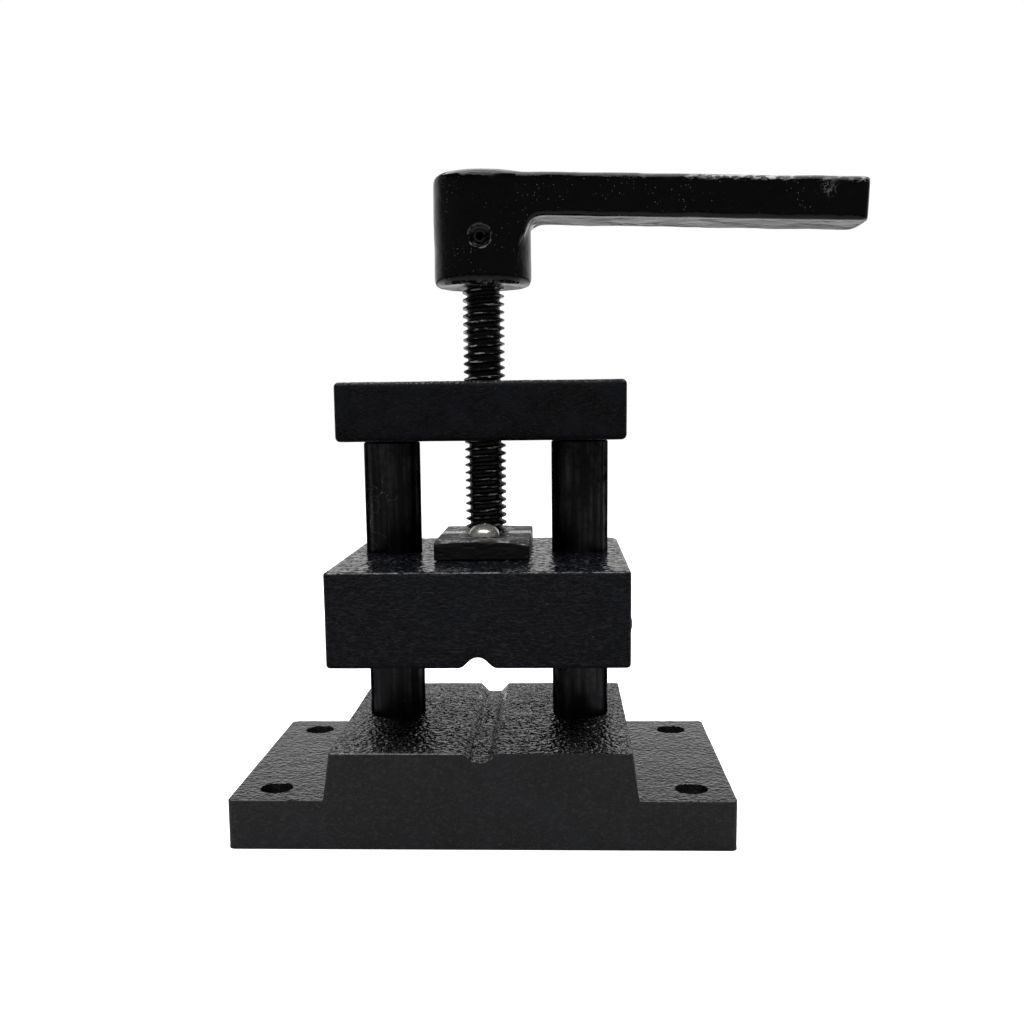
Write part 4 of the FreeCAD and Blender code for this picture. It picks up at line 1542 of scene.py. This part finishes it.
@dataclass(frozen=True)
class Studio:
    """Pale floor, soft lights and the camera."""

    lens: float = 41.8
    shift: Point = (0.0046, 0.0704)
    camera_mm: tuple[float, float, float] = (28.3, -462.2, 157.1)
    pitch: float = 8.45
    yaw: float = 2.49
    roll: float = 0.66
    ambient: float = 0.8
    high_share: float = 0.06
    front_share: float = 0.12
    floor_white: float = 0.93
    floor_dim: float = 0.33
    floor_glow: float = 0.6

    def camera(self) -> None:
        """Place the camera."""
        data = bpy.data.cameras.new("camera")
        data.lens = self.lens
        data.sensor_width = 36.0
        data.shift_x, data.shift_y = self.shift
        data.clip_start = 0.01
        made = bpy.data.objects.new("camera", data)
        aim = Matrix.Rotation(math.radians(self.yaw), 4, "Z")
        tilt = Matrix.Rotation(math.radians(90.0 - self.pitch), 4, "X")
        twist = Matrix.Rotation(math.radians(-self.roll), 4, "Z")
        made.matrix_world = Matrix.Translation(Vector(self.camera_mm) * MM) @ aim @ tilt @ twist
        bpy.context.scene.collection.objects.link(made)
        bpy.context.scene.camera = made

    def world(self) -> None:
        """White paper to the eye; to the surfaces, bright behind and dim on the camera's side."""
        world = bpy.data.worlds.new("studio")
        bpy.context.scene.world = world
        world.use_nodes = True
        graph = Graph(world.node_tree)
        split = graph.split(graph.add("ShaderNodeTexCoord").outputs["Generated"])
        rearward = graph.band(split["Y"], 0.15, 0.9, (self.front_share, 1.0))
        low = graph.band(split["Z"], 0.1, 0.6, (1.0, self.high_share))
        lit = graph.times(graph.times(rearward, low), self.ambient)
        seen = graph.add("ShaderNodeLightPath").outputs["Is Camera Ray"]
        backdrop = graph.add("ShaderNodeBackground")
        graph.feed(backdrop.inputs["Strength"], graph.mix(seen, lit, 1.0))
        backdrop.inputs["Color"].default_value = WHITE
        graph.feed(graph.add("ShaderNodeOutputWorld").inputs["Surface"], backdrop.outputs[0])

    def floor(self) -> None:
        """Wide pale floor under the vise."""
        bm = bmesh.new()
        bmesh.ops.create_grid(bm, x_segments=2, y_segments=2, size=6.0)
        mesh = bpy.data.meshes.new("floor")
        bm.to_mesh(mesh)
        bm.free()
        floor = bpy.data.objects.new("floor", mesh)
        bpy.context.scene.collection.objects.link(floor)
        material, graph, shader, coords = start_material("floor_paper")
        split = graph.split(coords.outputs["Object"])
        rearward = graph.band(split["Y"], -0.05, 0.25, (self.floor_dim, self.floor_white))
        seen = graph.add("ShaderNodeLightPath").outputs["Is Camera Ray"]
        shade = graph.mix(seen, rearward, self.floor_white)
        graph.fill(shader, Base_Color=shade)
        graph.fill(shader, Roughness=1.0)
        graph.fill(shader, Specular_IOR_Level=0.0)
        graph.fill(shader, Emission_Color=WHITE)
        far = graph.add("ShaderNodeVectorMath", operation="LENGTH")
        graph.feed(far.inputs[0], coords.outputs["Object"])
        glow = graph.band(far.outputs["Value"], 0.3, 0.8, (self.floor_glow, 1.0))
        graph.fill(shader, Emission_Strength=graph.times(seen, glow))
        mesh.materials.append(material)

    def softbox(self, name: str, place: tuple, target: tuple, size: Point, power: float) -> None:
        """Add a rectangular area light aimed at a point, places in millimetres."""
        data = bpy.data.lights.new(name, "AREA")
        data.shape = "RECTANGLE"
        data.size, data.size_y = (side * MM for side in size)
        data.energy = power
        made = bpy.data.objects.new(name, data)
        start = Vector(place) * MM
        aim = (Vector(target) * MM - start).to_track_quat("-Z", "Y")
        made.matrix_world = Matrix.Translation(start) @ aim.to_matrix().to_4x4()
        bpy.context.scene.collection.objects.link(made)

    def build(self) -> None:
        """Set up everything that isn't part of the vise."""
        bpy.context.scene.view_settings.view_transform = "Standard"
        self.camera()
        self.world()
        self.floor()
        self.softbox("overhead", (0, 150, 1100), (0, 0, 0), (1500, 1500), 26.0)
        self.softbox("key", (-100, -520, 950), (0, 0, 110), (1200, 600), 5.5)


# -------------------------------------------------------------------------------- main


def finishes(layout: Layout) -> dict[str, Material]:
    """Make every material.

    Args:
        layout: Places of the pieces, for wear along their edges.

    Returns:
        Materials by a short name.
    """
    effects = Effects()
    base_low, base_high = layout.base
    jaw_low, jaw_high = layout.jaw
    bridge_low = layout.bridge[0]
    lever_low = layout.lever[0]
    axis_y = layout.axis_y * MM
    plate_top = layout.plates[End.FRONT][1].z * MM
    recipes = {
        # In these paints the peel and ripple highlight tones are painted highlights, and the edge line is
        # part rubbed paint, part painted highlight
        "base": CastPaint(
            "base_paint", worn_edge_highlight_tone=(0.42, 0.415, 0.405, 1.0), peel_highlight_tone=(0.06, 0.06, 0.062, 1.0),
            ripple_highlight_tone=(0.021, 0.0215, 0.0230, 1.0), ripple_depth=0.0003, ripple_stretch=0.6,
            ripple_cells=1100.0,
            peel_depth=0.0016, peel_cells=660.0, pit_roughness=0.85, top_roughness=0.12,
            calm_share=0.28, calm_below=(base_low.z + Base.ear_height + 1.5) * MM,
            edge_line_y=base_low.y * MM, edge_line_z=base_high.z * MM, edge_line_width=0.0008, edge_line_cover=(0.66, 0.36),
        ),
        "jaw": CastPaint(
            "jaw_paint", tone=(0.0010, 0.0013, 0.0026, 1.0), gloss=0.14,
            worn_edge_highlight_tone=(0.3, 0.3, 0.305, 1.0), edge_line_metallic=0.0, peel_highlight_tone=(0.05, 0.05, 0.052, 1.0),
            ripple_highlight_tone=(0.0135, 0.0143, 0.0168, 1.0), ripple_depth=0.0006, ripple_stretch=0.26,
            ripple_cells=1400.0,
            peel_depth=0.0006, peel_cells=460.0, top_roughness=0.10, speck_amount=0.05,
            edge_line_y=jaw_low.y * MM, edge_line_z=jaw_high.z * MM, edge_line_width=0.0009, edge_line_cover=(0.60, 0.66),
        ),
        "bridge": CastPaint(
            "bridge_paint", tone=(0.0005, 0.00056, 0.0009, 1.0), gloss=0.08, side_roughness=0.5,
            worn_edge_highlight_tone=(0.3, 0.3, 0.305, 1.0), edge_line_metallic=0.0, speck_amount=0.40,
            ripple_highlight_tone=(0.0078, 0.0084, 0.0104, 1.0), ripple_depth=0.0005, ripple_stretch=0.5,
            ripple_cells=1500.0,
            patch_contrast=0.3, patch_gain=14.0,
            edge_line_y=bridge_low.y * MM, edge_line_z=bridge_low.z * MM, edge_line_cover=(0.6, 0.6),
        ),
        "lever": Enamel(
            "lever_black_enamel", chip_glint_y=(layout.axis_y - Lever.chip_glint_inset) * MM,
            chip_glint_z=(lever_low.z + Lever.chip_glint_height) * MM, chip_glint_from_x=0.09, rim_z=lever_low.z * MM,
            ring_z=(lever_low.z + Lever.pin_height) * MM, droop=Lever.droop,
        ),
        "column": ColumnSteel("column_black_bar"),
        "screw": ScrewSteel("screw_black_oxide", axis_y=axis_y, crest_radius=layout.thread_radius * MM),
        "plate": ShearedSteel("sheared_plate", split_y=axis_y, top_z=plate_top),
        "zinc": PlainSteel("bright_screw", (0.82, 0.80, 0.74, 1.0), 0.18, metallic=0.7, grime_gain=0.2),
        "oxide": PlainSteel("black_oxide", (0.035, 0.035, 0.037, 1.0), 0.34, metallic=0.5),
        # Near-black pin: partly enamel over it, partly painted shade that makes the cross hole read dark
        "pin": PlainSteel(
            "painted_pin", (0.004, 0.004, 0.0045, 1.0), 0.3, metallic=0.0, grime_tone=(0.02, 0.02, 0.02, 1.0)
        ),
        "hard": PlainSteel("hard_steel", (0.10, 0.10, 0.105, 1.0), 0.28, metallic=0.8),
    }
    return {key: recipe.build(effects) for key, recipe in recipes.items()}


def keep_cad_shapes(frame: dict, material: dict[str, Material]) -> None:
    """Finish the turned and threaded pieces, whose CAD shapes are kept."""
    by_material = {
        "column": ["guide_column_left", "guide_column_right"],
        "screw": ["clamp_screw"],
        "hard": ["thrust_disc"],
        "pin": ["lever_roll_pin"],
        "oxide": [
            f"{place}_{kind}_{side.name.lower()}"
            for place in ("base", "bridge")
            for kind in ("bolt", "washer")
            for side in Side
        ],
    }
    for key, nodes in by_material.items():
        for node in nodes:
            finish_node(frame, node, material[key])


def main() -> None:
    """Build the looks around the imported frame."""
    logging.basicConfig(level=logging.INFO, format="%(name)s: %(message)s")
    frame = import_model()
    layout = Layout.read()
    material = finishes(layout)
    Studio().build()
    keep_cad_shapes(frame, material)
    Base(layout).build(material["base"])
    Jaw(layout).build(material["jaw"])
    Bridge(layout).build(material["bridge"])
    Lever(layout).build(material["lever"])
    for end in End:
        HalfPlate(layout, end).build(material["plate"])
        PanScrew(layout, end).build(material["zinc"])


if __name__ == "__main__":
    main()
